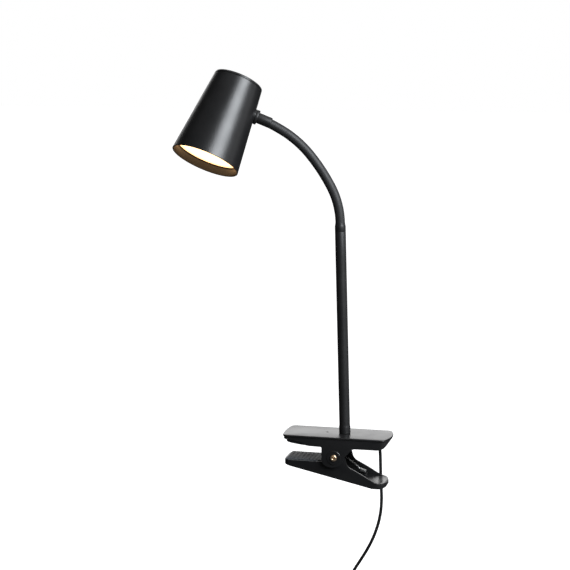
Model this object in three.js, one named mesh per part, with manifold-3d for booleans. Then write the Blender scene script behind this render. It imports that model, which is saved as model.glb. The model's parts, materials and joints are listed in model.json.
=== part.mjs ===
// Clip-on reading lamp: a sprung clip, a rigid stem, a gooseneck and a conical LED head.
// Millimetres, +Z up. +X runs from the jaw tip to the squeezed end, +Y is the far side.
// The origin is the middle of the upper jaw's flat pad, where the clip sits on a board.

import * as THREE from 'three';
import { mergeVertices } from 'three/addons/utils/BufferGeometryUtils.js';
import Module from 'manifold-3d';

const wasm = await Module();
wasm.setup();

// ---------------------------------------------------------------- driving dimensions

const GAP = 0.3;                    // clearance between touching parts
const RAD = Math.PI / 180;

// Clip. Its own frame has the stem axis at x = y = 0 and the plate's top at z = 0.
const STEM_X = 28;                  // pad middle to stem axis
const PLATE_TOP = 10.6;             // pad face to the plate's top
const TIP_X = -59.6;                // where the plate's corners end; its ends bow further out
const TAIL_X = 45.5;
const TIP_BOW = 2.4;
const TAIL_BOW = 6;
const PLATE_HALF = 21.75;
const PLATE_THICK = 2;
const CORNER = 5;
const SKIRT_HALF = 20.75;
const SKIRT_INNER = 18.5;
const CEILING = -2.2;               // underside of the plate inside the skirts
const JAW_GAP = 15;                 // board thickness at rest
const PAD_Z = -PLATE_TOP;
const LOWER_PAD_Z = PAD_Z - JAW_GAP;

const PIVOT_X = -6.9;
const PIVOT_Z = -20.7;
const PIVOT_R = 2;
const LEVER_HALF = 17.8;
const LEVER_INNER = 15.8;
const LEVER_EAR_R = 8.2;

const COIL_R = 4.6;                 // spring, mean coil radius
const WIRE_R = 0.9;
const COIL_TURNS = 6;
const COIL_PITCH = 2.1;

// Stem and gooseneck, in a vertical plane turned towards the near side.
const NECK_TURN = 12;               // degrees from -X towards -Y
const STEM_LEAN = 1.55;             // degrees
const STEM_R = 5.35;
const STEM_TOP = 203;
const NECK_START = 212;             // first bend, measured along the stem
const NECK_R = 4.7;
const SOCKET_R = 5.0;
const CORE_R = 3.2;
const NECK_LINKS = [                // length of each link and its own curve in degrees
  { length: 36.2, bend: 25.9 },
  { length: 38, bend: 11.7 },
  { length: 35.5, bend: 19.3 },
  { length: 28, bend: 9.1 },
];
const FERRULE_LENGTH = 14.5;
const FERRULE_R = 5.3;

// Head. Its own frame has the shade axis at x = y = 0 and the neck's axis at z = 0.
const HEAD_OUT = 30.2;              // collar to shade axis
const HEAD_ROLL = 21;               // degrees about the neck's end
const SHADE_TOP = 27;
const SHADE_MOUTH = -60.5;
const SHADE_TOP_R = 24.55;
const SHADE_MOUTH_R = 34;
const SHADE_WALL = 1.3;
const CAP_LIP = 2.5;
const DIFFUSER_Z = -52;

// Lead.
const CORD_R = 1.6;
const GLAND_X = 32.6;
const GLAND_Y = 15.2;
const GLAND_END = -10.8;
const CORD_ROUTE = [                // from the gland to the switch, in the clip's frame
  [32.6, 15.2, -11.1], [32.6, 15.4, -14], [32.6, 16.9, -18.8], [32.6, 19, -23.6],
  [32.7, 19.8, -29.5], [33.1, 19.8, -42.5], [33.9, 19.8, -60], [34.2, 19.8, -74],
  [32.9, 19.8, -88.5], [28.9, 19.8, -104.5], [22.4, 19.8, -120.5], [14.4, 19.8, -135],
  [6.6, 19.8, -148], [0.8, 19.8, -159.5], [-1.4, 19.8, -169], [-1.5, 19.8, -175],
];
const DROP_END = CORD_ROUTE[CORD_ROUTE.length - 1];
const SWITCH_LENGTH = 50;
const SWITCH_WIDTH = 17;
const SWITCH_THICK = 11.5;
const HANK_FOLD = 9.6;              // radius of the innermost fold
const HANK_RUN = 45;
const HANK_LAYERS = 4;
const HANK_RINGS = 2;
const PLUG_BODY = 27;
const PLUG_SHELL = 15;

// ---------------------------------------------------------------- solids

// Drops collapsed triangles and turns the faces outwards.
function closed(geometry) {
  const bare = geometry.index ? geometry.clone() : geometry;
  bare.deleteAttribute('normal');
  bare.deleteAttribute('uv');
  const merged = mergeVertices(bare, 1e-4);
  const position = merged.attributes.position;
  const at = (i) => new THREE.Vector3().fromBufferAttribute(position, i);
  const kept = [];
  let volume = 0;
  for (let i = 0; i < merged.index.count; i += 3) {
    const [a, b, c] = [0, 1, 2].map((k) => merged.index.getX(i + k));
    if (a === b || b === c || c === a) continue;
    kept.push([a, b, c]);
    volume += at(a).dot(at(b).cross(at(c)));
  }
  const turned = volume < 0 ? kept.map(([a, b, c]) => [a, c, b]) : kept;
  merged.setIndex(turned.flat());
  return merged;
}

function toSolid(geometry) {
  const shell = closed(geometry);
  const vertProperties = new Float32Array(shell.attributes.position.array);
  const triVerts = new Uint32Array(shell.index.array);
  return new wasm.Manifold(new wasm.Mesh({ numProp: 3, vertProperties, triVerts }));
}

function toGeometry(solid) {
  const mesh = solid.getMesh();
  const geometry = new THREE.BufferGeometry();
  geometry.setAttribute('position', new THREE.BufferAttribute(mesh.vertProperties, 3));
  geometry.setIndex(Array.from(mesh.triVerts));
  return geometry;
}

function cut(body, ...tools) {
  return toGeometry(tools.reduce((rest, tool) => rest.subtract(toSolid(tool)), toSolid(body)));
}

function join(body, ...others) {
  return toGeometry(others.reduce((sum, other) => sum.add(toSolid(other)), toSolid(body)));
}

function overlap(body, other) {
  return toGeometry(toSolid(body).intersect(toSolid(other)));
}

// ---------------------------------------------------------------- simple shapes

// A closed outline in X and Z, drawn with straight, curved (Q) and round (A) steps.
function outline(steps) {
  const shape = new THREE.Shape();
  steps.forEach((step, index) => {
    if (index === 0) shape.moveTo(...step);
    else if (step[0] === 'Q') shape.quadraticCurveTo(...step.slice(1));
    else if (step[0] === 'A') shape.absarc(...step.slice(1));
    else shape.lineTo(...step);
  });
  return shape;
}

// The outline extruded across the clip, from y = low to y = high.
function across(shape, low, high, curveSegments = 6) {
  const geometry = new THREE.ExtrudeGeometry(shape, {
    depth: high - low, bevelEnabled: false, curveSegments,
  });
  return geometry.rotateX(Math.PI / 2).translate(0, high, 0);
}

function upright(shape, low, high, curveSegments = 5) {
  const geometry = new THREE.ExtrudeGeometry(shape, {
    depth: high - low, bevelEnabled: false, curveSegments,
  });
  return geometry.translate(0, 0, low);
}

function box(x0, x1, y0, y1, z0, z1) {
  const geometry = new THREE.BoxGeometry(x1 - x0, y1 - y0, z1 - z0);
  return geometry.translate((x0 + x1) / 2, (y0 + y1) / 2, (z0 + z1) / 2);
}

function rod(radius, low, high, sides = 24) {
  const geometry = new THREE.CylinderGeometry(radius, radius, high - low, sides);
  return geometry.rotateX(Math.PI / 2).translate(0, 0, (low + high) / 2);
}

function rodAcross(radius, x, z, low, high, sides = 24) {
  const geometry = new THREE.CylinderGeometry(radius, radius, high - low, sides);
  return geometry.translate(x, (low + high) / 2, z);
}

// A turned piece: [radius, height] pairs that start and end on the axis, or a closed ring.
function turned(profile, sides = 24) {
  const points = profile.map(([radius, height]) => new THREE.Vector2(radius, height));
  return new THREE.LatheGeometry(points, sides).rotateX(Math.PI / 2);
}

function ring(outer, inner, low, high, sides = 20) {
  return turned([[inner, low], [outer, low], [outer, high], [inner, high], [inner, low]], sides);
}

function ball(radius, z) {
  return new THREE.SphereGeometry(radius, 14, 8).rotateX(Math.PI / 2).translate(0, 0, z);
}

function circleShape(radius, sides) {
  const points = [];
  for (let i = 0; i < sides; i += 1) {
    const angle = (2 * Math.PI * i) / sides;
    points.push(new THREE.Vector2(radius * Math.cos(angle), radius * Math.sin(angle)));
  }
  return new THREE.Shape(points);
}

function tube(path, radius, steps, sides = 16) {
  return new THREE.ExtrudeGeometry(circleShape(radius, sides), {
    steps, extrudePath: path, bevelEnabled: false,
  });
}

function curveThrough(points) {
  return new THREE.CatmullRomCurve3(points.map((point) => new THREE.Vector3(...point)));
}

// A rounded rectangle whose ends may bow outwards, at x1 and at x0.
function roundedRectangle(x0, x1, y0, y1, corner, bow = 0, backBow = bow) {
  const shape = new THREE.Shape();
  const middle = (y0 + y1) / 2;
  shape.moveTo(x0 + corner, y0);
  shape.lineTo(x1 - corner, y0);
  shape.quadraticCurveTo(x1 - corner * 0.15, y0 + corner * 0.15, x1, y0 + corner);
  shape.quadraticCurveTo(x1 + bow, middle, x1, y1 - corner);
  shape.quadraticCurveTo(x1 - corner * 0.15, y1 - corner * 0.15, x1 - corner, y1);
  shape.lineTo(x0 + corner, y1);
  shape.quadraticCurveTo(x0 + corner * 0.15, y1 - corner * 0.15, x0, y1 - corner);
  shape.quadraticCurveTo(x0 - backBow, middle, x0, y0 + corner);
  shape.quadraticCurveTo(x0 + corner * 0.15, y0 + corner * 0.15, x0 + corner, y0);
  return shape;
}

function hexagon(acrossFlats) {
  return circleShape(acrossFlats / Math.sqrt(3), 6);
}

// ---------------------------------------------------------------- scene graph

function group(parent, { x = 0, y = 0, z = 0, turnY = 0, turnZ = 0 } = {}) {
  const child = new THREE.Group();
  child.position.set(x, y, z);
  child.rotation.set(0, turnY * RAD, turnZ * RAD, 'ZYX');
  parent.add(child);
  return child;
}

function finish(color, roughness, metalness = 0) {
  return new THREE.MeshStandardMaterial({ color, roughness, metalness });
}

const blackPlastic = () => finish(0x1b1c1e, 0.35);
const blackRubber = () => finish(0x23262b, 0.8);
const steel = () => finish(0xa8a9a6, 0.35, 1);
const brass = () => finish(0xb79a5e, 0.3, 1);
const satinBlack = () => finish(0x1a1a1b, 0.4, 0.3);
const whitePlastic = () => finish(0xf4f1e6, 0.5);

function part(parent, name, geometry, material) {
  const mesh = new THREE.Mesh(closed(geometry), material);
  mesh.name = name;
  parent.add(mesh);
}

const lamp = new THREE.Group();
const clip = group(lamp, { x: STEM_X, z: PLATE_TOP });

// ---------------------------------------------------------------- upper jaw

const COVER_TOP = -8.2;
const COVER_BOTTOM = -9.6;
const COVER_SCREWS = [[17, -12], [38, -8]];

// Side profile of the skirts, with the ears that carry the pivot.
function skirtOutline() {
  return outline([
    [-59.4, -1.5], [-59.1, -4.3],
    ['Q', -48, -5.3, -40, -6.7],
    [-37.6, -9.4],
    [-32, -10.2],
    [-20.6, -10.5],
    ['Q', -19.5, -10.6, -19.5, -12], [-19.5, -22.6],
    ['Q', -19, -30.4, -9, -30.8],
    ['Q', 0.6, -30.6, 3.2, -21.2],
    ['Q', 3.6, -20, 4.6, -18.9], [11, -12.2],
    ['Q', 12.2, -11, 14, -10.9], [36.5, -10.8],
    ['Q', 43.5, -10, 46, -5.2], [46.8, -1.5],
  ]);
}

function upperJaw() {
  const footprint = roundedRectangle(
    TIP_X + 0.9, TAIL_X - 0.9, -SKIRT_HALF, SKIRT_HALF, CORNER - 0.5, TAIL_BOW, TIP_BOW,
  );
  const skirts = overlap(
    across(skirtOutline(), -SKIRT_HALF, SKIRT_HALF),
    upright(footprint, -40, -1.2),
  );
  const inside = upright(
    roundedRectangle(-57.2, 42.2, -SKIRT_INNER, SKIRT_INNER, CORNER - 1, 4.6, 1.6), -50, CEILING,
  );
  const plate = upright(
    roundedRectangle(TIP_X, TAIL_X, -PLATE_HALF, PLATE_HALF, CORNER, TAIL_BOW, TIP_BOW),
    -PLATE_THICK, 0, 6,
  );
  // Ribs that back the pad, following its curved upper face.
  const rib = outline([
    [-57.6, -1.8], [-57.6, -2.7], ['Q', -46, -5.9, -35, -6.4], [-20, -7.4], [-20, -1.8],
  ]);
  const ribs = [-17, -8.5, 0, 8.5, 17].map((y) => across(rib, y - 0.9, y + 0.9, 5));
  const wall = box(-20.4, -18.9, -19, 19, -7.4, -1.8);
  const bayWall = cut(box(8.4, 9.8, -19, 19, COVER_TOP, -1.8), box(8, 10, -2.2, 2.2, -9, -4));
  const bosses = COVER_SCREWS.map(([x, y]) => rod(3, COVER_TOP + 0.3, -1.8, 10).translate(x, y, 0));
  const earBosses = [-1, 1].map((side) => rodAcross(
    7, PIVOT_X, PIVOT_Z, side * 20.9 - 0.5, side * 20.9 + 0.5, 20,
  ));
  const body = join(cut(skirts, inside), plate, wall, bayWall, ...ribs, ...bosses, ...earBosses);
  const pilots = COVER_SCREWS.map(([x, y]) => rod(1.25, -12, -3.4, 8).translate(x, y, 0));
  const dimple = new THREE.SphereGeometry(1.6, 10, 8).translate(-18, 0, 0.75);
  return cut(
    body,
    rod(4.5, -12, 5, 24),
    rodAcross(PIVOT_R + GAP, PIVOT_X, PIVOT_Z, -30, 30, 16),
    dimple,
    ...pilots,
  );
}

function upperPad() {
  const section = outline([
    [-56.7, -3.9], ['Q', -46, -7, -35, -7.3], [-20.8, -8.2],
    [-20.8, PAD_Z], [-34, PAD_Z], ['Q', -46, -9.8, -56.7, -7.5],
  ]);
  const footprint = roundedRectangle(-56.6, -20.9, -17.9, 17.9, 4.5, 0.4);
  return overlap(across(section, -17.9, 17.9, 10), upright(footprint, -15, 0));
}

part(clip, 'upper_jaw', upperJaw(), blackPlastic());
part(clip, 'upper_jaw_pad', upperPad(), blackRubber());

// ---------------------------------------------------------------- wiring bay

function wiringCover() {
  const sheet = upright(
    roundedRectangle(10.2, 40.9, -17.9, 17.9, 4, 2.8, 0), COVER_BOTTOM, COVER_TOP, 5,
  );
  const holes = COVER_SCREWS.map(([x, y]) => rod(1.4, -20, 0, 12).translate(x, y, 0));
  return cut(sheet, rod(3, -20, 0, 20).translate(GLAND_X, GLAND_Y, 0), ...holes);
}

function panScrew(shank, head, length, sides = 16) {
  return turned([
    [0, -head * 0.55], [head * 0.6, -head * 0.5], [head, -head * 0.15],
    [head, 0], [shank, 0], [shank, length - shank], [0, length],
  ], sides);
}

part(clip, 'wiring_cover', wiringCover(), blackPlastic());
COVER_SCREWS.forEach(([x, y], index) => {
  const screw = panScrew(1, 2.2, 5.2).translate(x, y, COVER_BOTTOM - GAP);
  part(clip, `cover_screw_${index + 1}`, screw, steel());
});

function cordGland() {
  const body = turned([
    [1.9, -6], [4, -6], [4, COVER_TOP + GAP], [2.7, COVER_TOP + GAP],
    [2.6, -9.7], [2.3, GLAND_END], [1.9, GLAND_END], [1.9, -6],
  ], 20);
  return cut(
    body.translate(GLAND_X, GLAND_Y, 0),
    box(20, 45, SKIRT_INNER - GAP, 30, -20, 0),
  );
}

part(clip, 'cord_gland', cordGland(), blackRubber());
part(clip, 'cord_inner', tube(curveThrough([
  [GLAND_X, GLAND_Y, GLAND_END + 0.2], [GLAND_X, GLAND_Y, -8.4], [GLAND_X, GLAND_Y, -6],
  [GLAND_X - 1.6, GLAND_Y - 1.6, -4.2], [28, 9, -4.1], [24, 4.5, -5], [22.4, 3, -5.4],
]), 1.5, 18, 8), blackRubber());
part(clip, 'lead_terminal', cut(
  box(15.5, 22, -1, 6.5, -7.6, -3),
  box(14, 17.6, 0.4, 5.2, -7, -4),
  box(20, 23, 0.6, 5.4, -7.4, -3.6),
), whitePlastic());

// ---------------------------------------------------------------- pivot and spring

part(clip, 'pivot_screw', join(
  rodAcross(PIVOT_R, PIVOT_X, PIVOT_Z, -22.2, 24.4, 20),
  cut(
    turned([[0, 0], [3.35, 0], [3.35, 0.55], [2.5, 1.2], [0, 1.45]], 28)
      .rotateX(Math.PI / 2).translate(PIVOT_X, -21.4 - GAP, PIVOT_Z),
    box(PIVOT_X - 2, PIVOT_X + 2, -25, -22.7, PIVOT_Z - 0.35, PIVOT_Z + 0.35),
    box(PIVOT_X - 0.35, PIVOT_X + 0.35, -25, -22.7, PIVOT_Z - 2, PIVOT_Z + 2),
  ),
), brass());
part(clip, 'pivot_nut', cut(
  upright(hexagon(6.4), 0, 2).rotateX(-Math.PI / 2).translate(PIVOT_X, 21.4 + GAP, PIVOT_Z),
  rodAcross(PIVOT_R + GAP, PIVOT_X, PIVOT_Z, 18, 26, 20),
), brass());
part(clip, 'pivot_sleeve', cut(
  rodAcross(3.3, PIVOT_X, PIVOT_Z, -15.2, 15.2, 20),
  rodAcross(PIVOT_R + GAP, PIVOT_X, PIVOT_Z, -16, 16, 20),
), steel());

// The coil winds towards +Y and its upper leg runs to the plate's underside.
class SpringPath extends THREE.Curve {
  getPoint(t) {
    const legShare = 0.12;
    const s = Math.max(0, (t - legShare) / (1 - legShare));
    const angle = 60 * RAD + 2 * Math.PI * COIL_TURNS * s;
    const start = 60 * RAD;
    const y = (s - 0.5) * COIL_TURNS * COIL_PITCH;
    const leg = t < legShare ? (legShare - t) / legShare * 15 : 0;
    return new THREE.Vector3(
      PIVOT_X + COIL_R * Math.cos(angle) + leg * Math.sin(start),
      y,
      PIVOT_Z + COIL_R * Math.sin(angle) + leg * -Math.cos(start) * -0.75,
    );
  }
}

part(clip, 'clip_spring', tube(new SpringPath(), WIRE_R, 72, 5), steel());

// ---------------------------------------------------------------- lever with the lower jaw

function leverOutline() {
  return outline([
    [-59.8, -28.2], ['Q', -59.6, -26.3, -58, -26.3], [-20.5, -26.3],
    ['Q', -17, -25.6, -15.3, -21.5],
    ['A', PIVOT_X, PIVOT_Z, LEVER_EAR_R, 185 * RAD, 0, true],
    [3.7, -21.3], [5, -26.5],
    ['Q', 6.2, -30, 9.6, -31.7], [20, -37], [31.5, -43.6],
    ['Q', 34.5, -45.4, 37.5, -45.6], [42.4, -46],
    ['Q', 44.4, -46.6, 44.4, -48.5],
    ['Q', 44.2, -51, 41, -51.1], [31, -50.9],
    [-31, -37.2], [-58, -31.2],
    ['Q', -59.8, -30.6, -59.8, -28.2],
  ]);
}

function lowerJaw() {
  const footprint = roundedRectangle(-58.8, 41.9, -LEVER_HALF, LEVER_HALF, 6.5, 5, 2);
  const body = overlap(
    across(leverOutline(), -LEVER_HALF, LEVER_HALF),
    upright(footprint, -60, 0),
  );
  const channel = overlap(
    across(outline([
      [-18.4, -5], [-18.4, -38], [18, -45.8], [18.7, -44.9], [43, -46.2], [43, -5],
    ]), -LEVER_INNER, LEVER_INNER),
    upright(roundedRectangle(-18.4, 39.8, -LEVER_INNER, LEVER_INNER, 5, 4.4, 0), -60, 0),
  );
  const padSeat = box(-57.6, -20.2, -15.9, 15.9, -27.9, -20);
  const pocket = outline([[-49, -45], [-49, -29.6], [-21, -29.6], [-21, -45]]);
  const pockets = [across(pocket, -LEVER_INNER, -1), across(pocket, 1, LEVER_INNER)];
  const seat = cut(
    box(14.2, 24, -2, 9, -46, -38.6),
    box(10, 30, 1.9, 6.1, -40.6, -30),
  );
  return cut(
    join(cut(body, channel), seat),
    padSeat,
    rodAcross(PIVOT_R + GAP, PIVOT_X, PIVOT_Z, -30, 30, 16),
    ...pockets,
  );
}

const lever = group(clip);
part(lever, 'lower_jaw', lowerJaw(), blackPlastic());
part(lever, 'lower_jaw_pad', box(-57.3, -20.5, -15.6, 15.6, -27.6, LOWER_PAD_Z), blackRubber());
part(lever, 'clip_spring_lower_leg', tube(curveThrough([
  [-3.6, 7.6, -25.3], [-1.2, 7.5, -26], [1.6, 7, -27.6], [6.2, 6, -30.6], [10.8, 4.9, -33.5],
  [13.6, 4.1, -35.6], [15.8, 4, -37.2], [19.3, 4, -38.3],
]), WIRE_R, 12, 6), steel());

// ---------------------------------------------------------------- stem

const neckPlane = group(clip, { turnZ: NECK_TURN });
const stem = group(neckPlane, { turnY: -STEM_LEAN });
const BORE = 2.4;
const STUD_R = 4;
const SPIGOT_R = 3.3;

part(stem, 'stem_tube', turned([
  [BORE, -9.2], [STUD_R, -9.2], [STUD_R, 0.5], [STEM_R + 0.35, 0.5], [STEM_R + 0.35, 7],
  [STEM_R, 8.5], [STEM_R, STEM_TOP], [SPIGOT_R, STEM_TOP], [SPIGOT_R, STEM_TOP + 5],
  [BORE, STEM_TOP + 5], [BORE, -9.2],
]), blackPlastic());
part(stem, 'stem_washer', ring(7.4, STUD_R + GAP, -3.4, -2.6, 28), steel());
part(stem, 'stem_nut', cut(upright(hexagon(12.4), -7.6, -3.7), rod(STUD_R + GAP, -9, -2)), steel());
part(stem, 'stem_leads', tube(curveThrough([
  [0, 0, STEM_TOP + 5], [0, 0, 150], [0, 0, 100], [0, 0, 50], [0, 0, 10], [0, 0, -4],
  [0, 0, -9.4], [3.2, -0.8, -12.3], [6.8, -1.5, -9.8],
  [9.3, -2, -7], [13, -1.4, -5.8], [17.2, -0.7, -5.5],
]), 1.1, 34, 6), blackRubber());

// ---------------------------------------------------------------- gooseneck

// A round bend in the neck plane, leaving along +Z and curving towards -X.
class Arc extends THREE.Curve {
  constructor(length, bend, before = 0, after = 0) {
    super();
    Object.assign(this, { length, radius: length / (bend * RAD), before, after });
  }

  at(s) {
    const inside = Math.min(Math.max(s, 0), this.length);
    const angle = inside / this.radius;
    const straight = s - inside;
    return new THREE.Vector3(
      -this.radius * (1 - Math.cos(angle)) - straight * Math.sin(angle),
      0,
      this.radius * Math.sin(angle) + straight * Math.cos(angle),
    );
  }

  getPoint(t) {
    return this.at(-this.before + t * (this.length + this.before + this.after));
  }
}

const sleeveBlack = () => finish(0x222224, 0.55);

// The foot turns on the stem's spigot and ends in the first ball.
part(stem, 'neck_foot', cut(
  join(
    turned([
      [0, STEM_TOP + GAP], [STEM_R, STEM_TOP + GAP], [STEM_R, NECK_START - 3.4],
      [NECK_R, NECK_START - 1.6], [NECK_R, NECK_START], [0, NECK_START],
    ]),
    ball(NECK_R, NECK_START),
  ),
  rod(SPIGOT_R + GAP, 190, NECK_START + 8),
), sleeveBlack());

let joint = group(stem, { z: NECK_START });
NECK_LINKS.forEach(({ length, bend }, index) => {
  const last = index === NECK_LINKS.length - 1;
  const number = index + 1;
  const sleeveLength = last ? length - FERRULE_LENGTH - 3 * GAP : length;
  const sleeveBend = bend * sleeveLength / length;
  const outer = tube(new Arc(sleeveLength, sleeveBend), NECK_R, 4, 14);
  const bore = tube(new Arc(sleeveLength, sleeveBend, 8, 8), CORE_R + GAP, 5, 10);
  const end = new Arc(sleeveLength, sleeveBend).at(sleeveLength);
  const domed = last ? outer : join(outer, ball(NECK_R, 0).translate(...end));
  part(joint, `neck_sleeve_${number}`, cut(domed, bore, ball(SOCKET_R, 0)), sleeveBlack());

  const coreLength = last ? length - 9 : length - 0.4;
  const coreBend = bend * coreLength / length;
  part(joint, `neck_core_${number}`, cut(
    tube(new Arc(coreLength, coreBend), CORE_R - 0.05, 4, 10),
    tube(new Arc(coreLength, coreBend, 8, 8), 1.6, 6, 6),
    ball(SOCKET_R, 0),
  ), steel());
  const leadLength = last ? length - 6 : length - 1.4;
  part(joint, `neck_leads_${number}`, cut(
    tube(new Arc(leadLength, bend * leadLength / length), 1.1, 5, 6),
    rod(4, -5, 4.4, 8),
  ), blackRubber());

  const tip = new Arc(length, bend).at(length);
  joint = group(joint, { x: tip.x, z: tip.z, turnY: -bend });
});

// ---------------------------------------------------------------- swivel at the neck's end

const COLLAR_BOTTOM = -1;
const COLLAR_TOP = 1.7;
const COLLAR_R = 7.3;
const neckEnd = joint;

part(neckEnd, 'neck_ferrule', turned([
  [3.9, -FERRULE_LENGTH], [5, -FERRULE_LENGTH], [FERRULE_R, -FERRULE_LENGTH + 0.6],
  [FERRULE_R, COLLAR_BOTTOM - GAP], [3.9, COLLAR_BOTTOM - GAP], [3.9, -FERRULE_LENGTH],
], 28), blackPlastic());
part(neckEnd, 'neck_collar', turned([
  [3.9, COLLAR_BOTTOM], [COLLAR_R - 0.4, COLLAR_BOTTOM], [COLLAR_R, COLLAR_BOTTOM + 0.4],
  [COLLAR_R, COLLAR_TOP - 0.4], [COLLAR_R - 0.4, COLLAR_TOP], [3.9, COLLAR_TOP],
  [3.9, COLLAR_BOTTOM],
], 32), satinBlack());
part(neckEnd, 'swivel_bolt', ring(3.6, 1.6, -8.6, 11, 20), steel());
part(neckEnd, 'swivel_washer', ring(6.4, 3.9, 6, 6.7, 24), steel());
part(neckEnd, 'swivel_nut', cut(upright(hexagon(11), 7, 10), rod(3.9, 5, 12)), steel());

// ---------------------------------------------------------------- head

const rolled = group(neckEnd, { z: HEAD_OUT, turnZ: HEAD_ROLL });
const head = group(rolled, { turnY: 90 });

function shadeRadius(z) {
  const share = (SHADE_TOP - z) / (SHADE_TOP - SHADE_MOUTH);
  return SHADE_TOP_R + (SHADE_MOUTH_R - SHADE_TOP_R) * share;
}

function shadeInner(z) {
  return shadeRadius(z) - SHADE_WALL;
}

const SHELL_TOP = SHADE_TOP - CAP_LIP - GAP;

// A low flat boss on the shade's side meets the collar.
const BOSS_FACE = HEAD_OUT - COLLAR_TOP - GAP;
const BOSS_ROOT = 22;
const BOLT_HOLE_R = 4.2;

function lampShade() {
  const shell = turned([
    [shadeInner(SHADE_MOUTH), SHADE_MOUTH], [shadeRadius(SHADE_MOUTH), SHADE_MOUTH],
    [shadeRadius(SHELL_TOP), SHELL_TOP], [shadeInner(SHELL_TOP), SHELL_TOP],
    [shadeInner(SHADE_MOUTH), SHADE_MOUTH],
  ], 44);
  const room = turned([
    [0, SHADE_MOUTH], [shadeInner(SHADE_MOUTH), SHADE_MOUTH],
    [shadeInner(SHELL_TOP), SHELL_TOP], [0, SHELL_TOP],
  ], 44);
  const boss = new THREE.CylinderGeometry(COLLAR_R, COLLAR_R, BOSS_FACE - BOSS_ROOT, 32)
    .rotateZ(Math.PI / 2)
    .translate((BOSS_FACE + BOSS_ROOT) / 2, 0, 0);
  const bore = new THREE.CylinderGeometry(BOLT_HOLE_R, BOLT_HOLE_R, 20, 20)
    .rotateZ(Math.PI / 2)
    .translate(28, 0, 0);
  return cut(join(shell, cut(boss, room)), bore);
}

part(head, 'lamp_shade', lampShade(), satinBlack());
part(head, 'shade_cap', turned([
  [0, SHADE_TOP], [SHADE_TOP_R - 0.7, SHADE_TOP], [SHADE_TOP_R, SHADE_TOP - 0.7],
  [shadeRadius(SHADE_TOP - CAP_LIP), SHADE_TOP - CAP_LIP], [22.6, SHADE_TOP - CAP_LIP],
  [22.6, 19], [21.2, 19], [21.2, SHADE_TOP - 1.6], [0, SHADE_TOP - 1.6],
], 40), satinBlack());

// The heat sink hangs in the shade and carries the light board.
const SINK_TOP = -32;
const SINK_BASE = -36;
const BOARD_SCREWS = [35, 215];

function heatSink() {
  const base = rod(28.6, SINK_BASE, SINK_TOP, 40);
  const fins = [-18, -12, -6, 0, 6, 12, 18].map((y) => {
    const half = Math.sqrt(24 * 24 - y * y);
    return box(-half, half, y - 0.8, y + 0.8, SINK_TOP - 1, -15);
  });
  return cut(
    join(base, ...fins),
    box(20, 30, -5.5, 5.5, -40, -10),
    ...BOARD_SCREWS.map((angle) => (
      rod(1.3, -40, -26, 12).translate(12.5 * Math.cos(angle * RAD), 12.5 * Math.sin(angle * RAD), 0)
    )),
  );
}

part(head, 'heat_sink', heatSink(), finish(0xb9bcc0, 0.4, 1));
part(head, 'thermal_pad', rod(9.5, -36.9, -36.3, 24), finish(0x9aa3ad, 0.9));
part(head, 'led_board', cut(
  rod(17, -38.8, -37.2, 36),
  ...BOARD_SCREWS.map((angle) => (
    rod(1.4, -42, -30, 12).translate(12.5 * Math.cos(angle * RAD), 12.5 * Math.sin(angle * RAD), 0)
  )),
), whitePlastic());
part(head, 'led_emitter', turned([
  [0, -39.1], [6.4, -39.1], [6.4, -39.8], [5.2, -40.1], [0, -40.1],
], 24), finish(0xf2d479, 0.4));
BOARD_SCREWS.forEach((angle, index) => {
  const screw = panScrew(1.05, 2, 9.5).translate(
    12.5 * Math.cos(angle * RAD), 12.5 * Math.sin(angle * RAD), -39.1,
  );
  part(head, `board_screw_${index + 1}`, screw, steel());
});
part(head, 'reflector', turned([
  [8, -40.6], [9, -40.6], [31, -49.2], [31, -49.7], [29.8, -49.7], [8, -41.4], [8, -40.6],
], 28).translate(0, 0, -0.3), finish(0xf7f7f5, 0.5));
part(head, 'diffuser', turned([
  [0, DIFFUSER_Z], [30.6, DIFFUSER_Z], [31.2, DIFFUSER_Z + 0.5],
  [31.1, DIFFUSER_Z + 1.6], [0, DIFFUSER_Z + 1.6],
], 36), whitePlastic());
part(head, 'diffuser_ring', ring(31.6, 30.5, DIFFUSER_Z - 1.9, DIFFUSER_Z - GAP, 36), satinBlack());
[-1, 1].forEach((side, index) => {
  const lead = tube(curveThrough([
    [18.3, side * 0.8, 0], [16.6, side * 1.6, -4], [18, side * 2.2, -9], [22.6, side * 2.6, -15.5],
    [23.7, side * 2.7, -22],
    [23.6, side * 2.8, -32], [22.4, side * 3, -37.6], [19, side * 3, -40.1], [15.2, side * 3, -40],
  ]), 0.6, 20, 5);
  part(head, `head_lead_${index + 1}`, lead, side < 0 ? finish(0xa02820, 0.5) : blackRubber());
});

// ---------------------------------------------------------------- lead, switch and plug

part(clip, 'cord_drop', tube(curveThrough(CORD_ROUTE), CORD_R, 30, 8), blackRubber());

const [DROP_X, DROP_Y, DROP_Z] = DROP_END;
const SWITCH_TOP = DROP_Z - GAP;
const SWITCH_BOTTOM = SWITCH_TOP - SWITCH_LENGTH;

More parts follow.
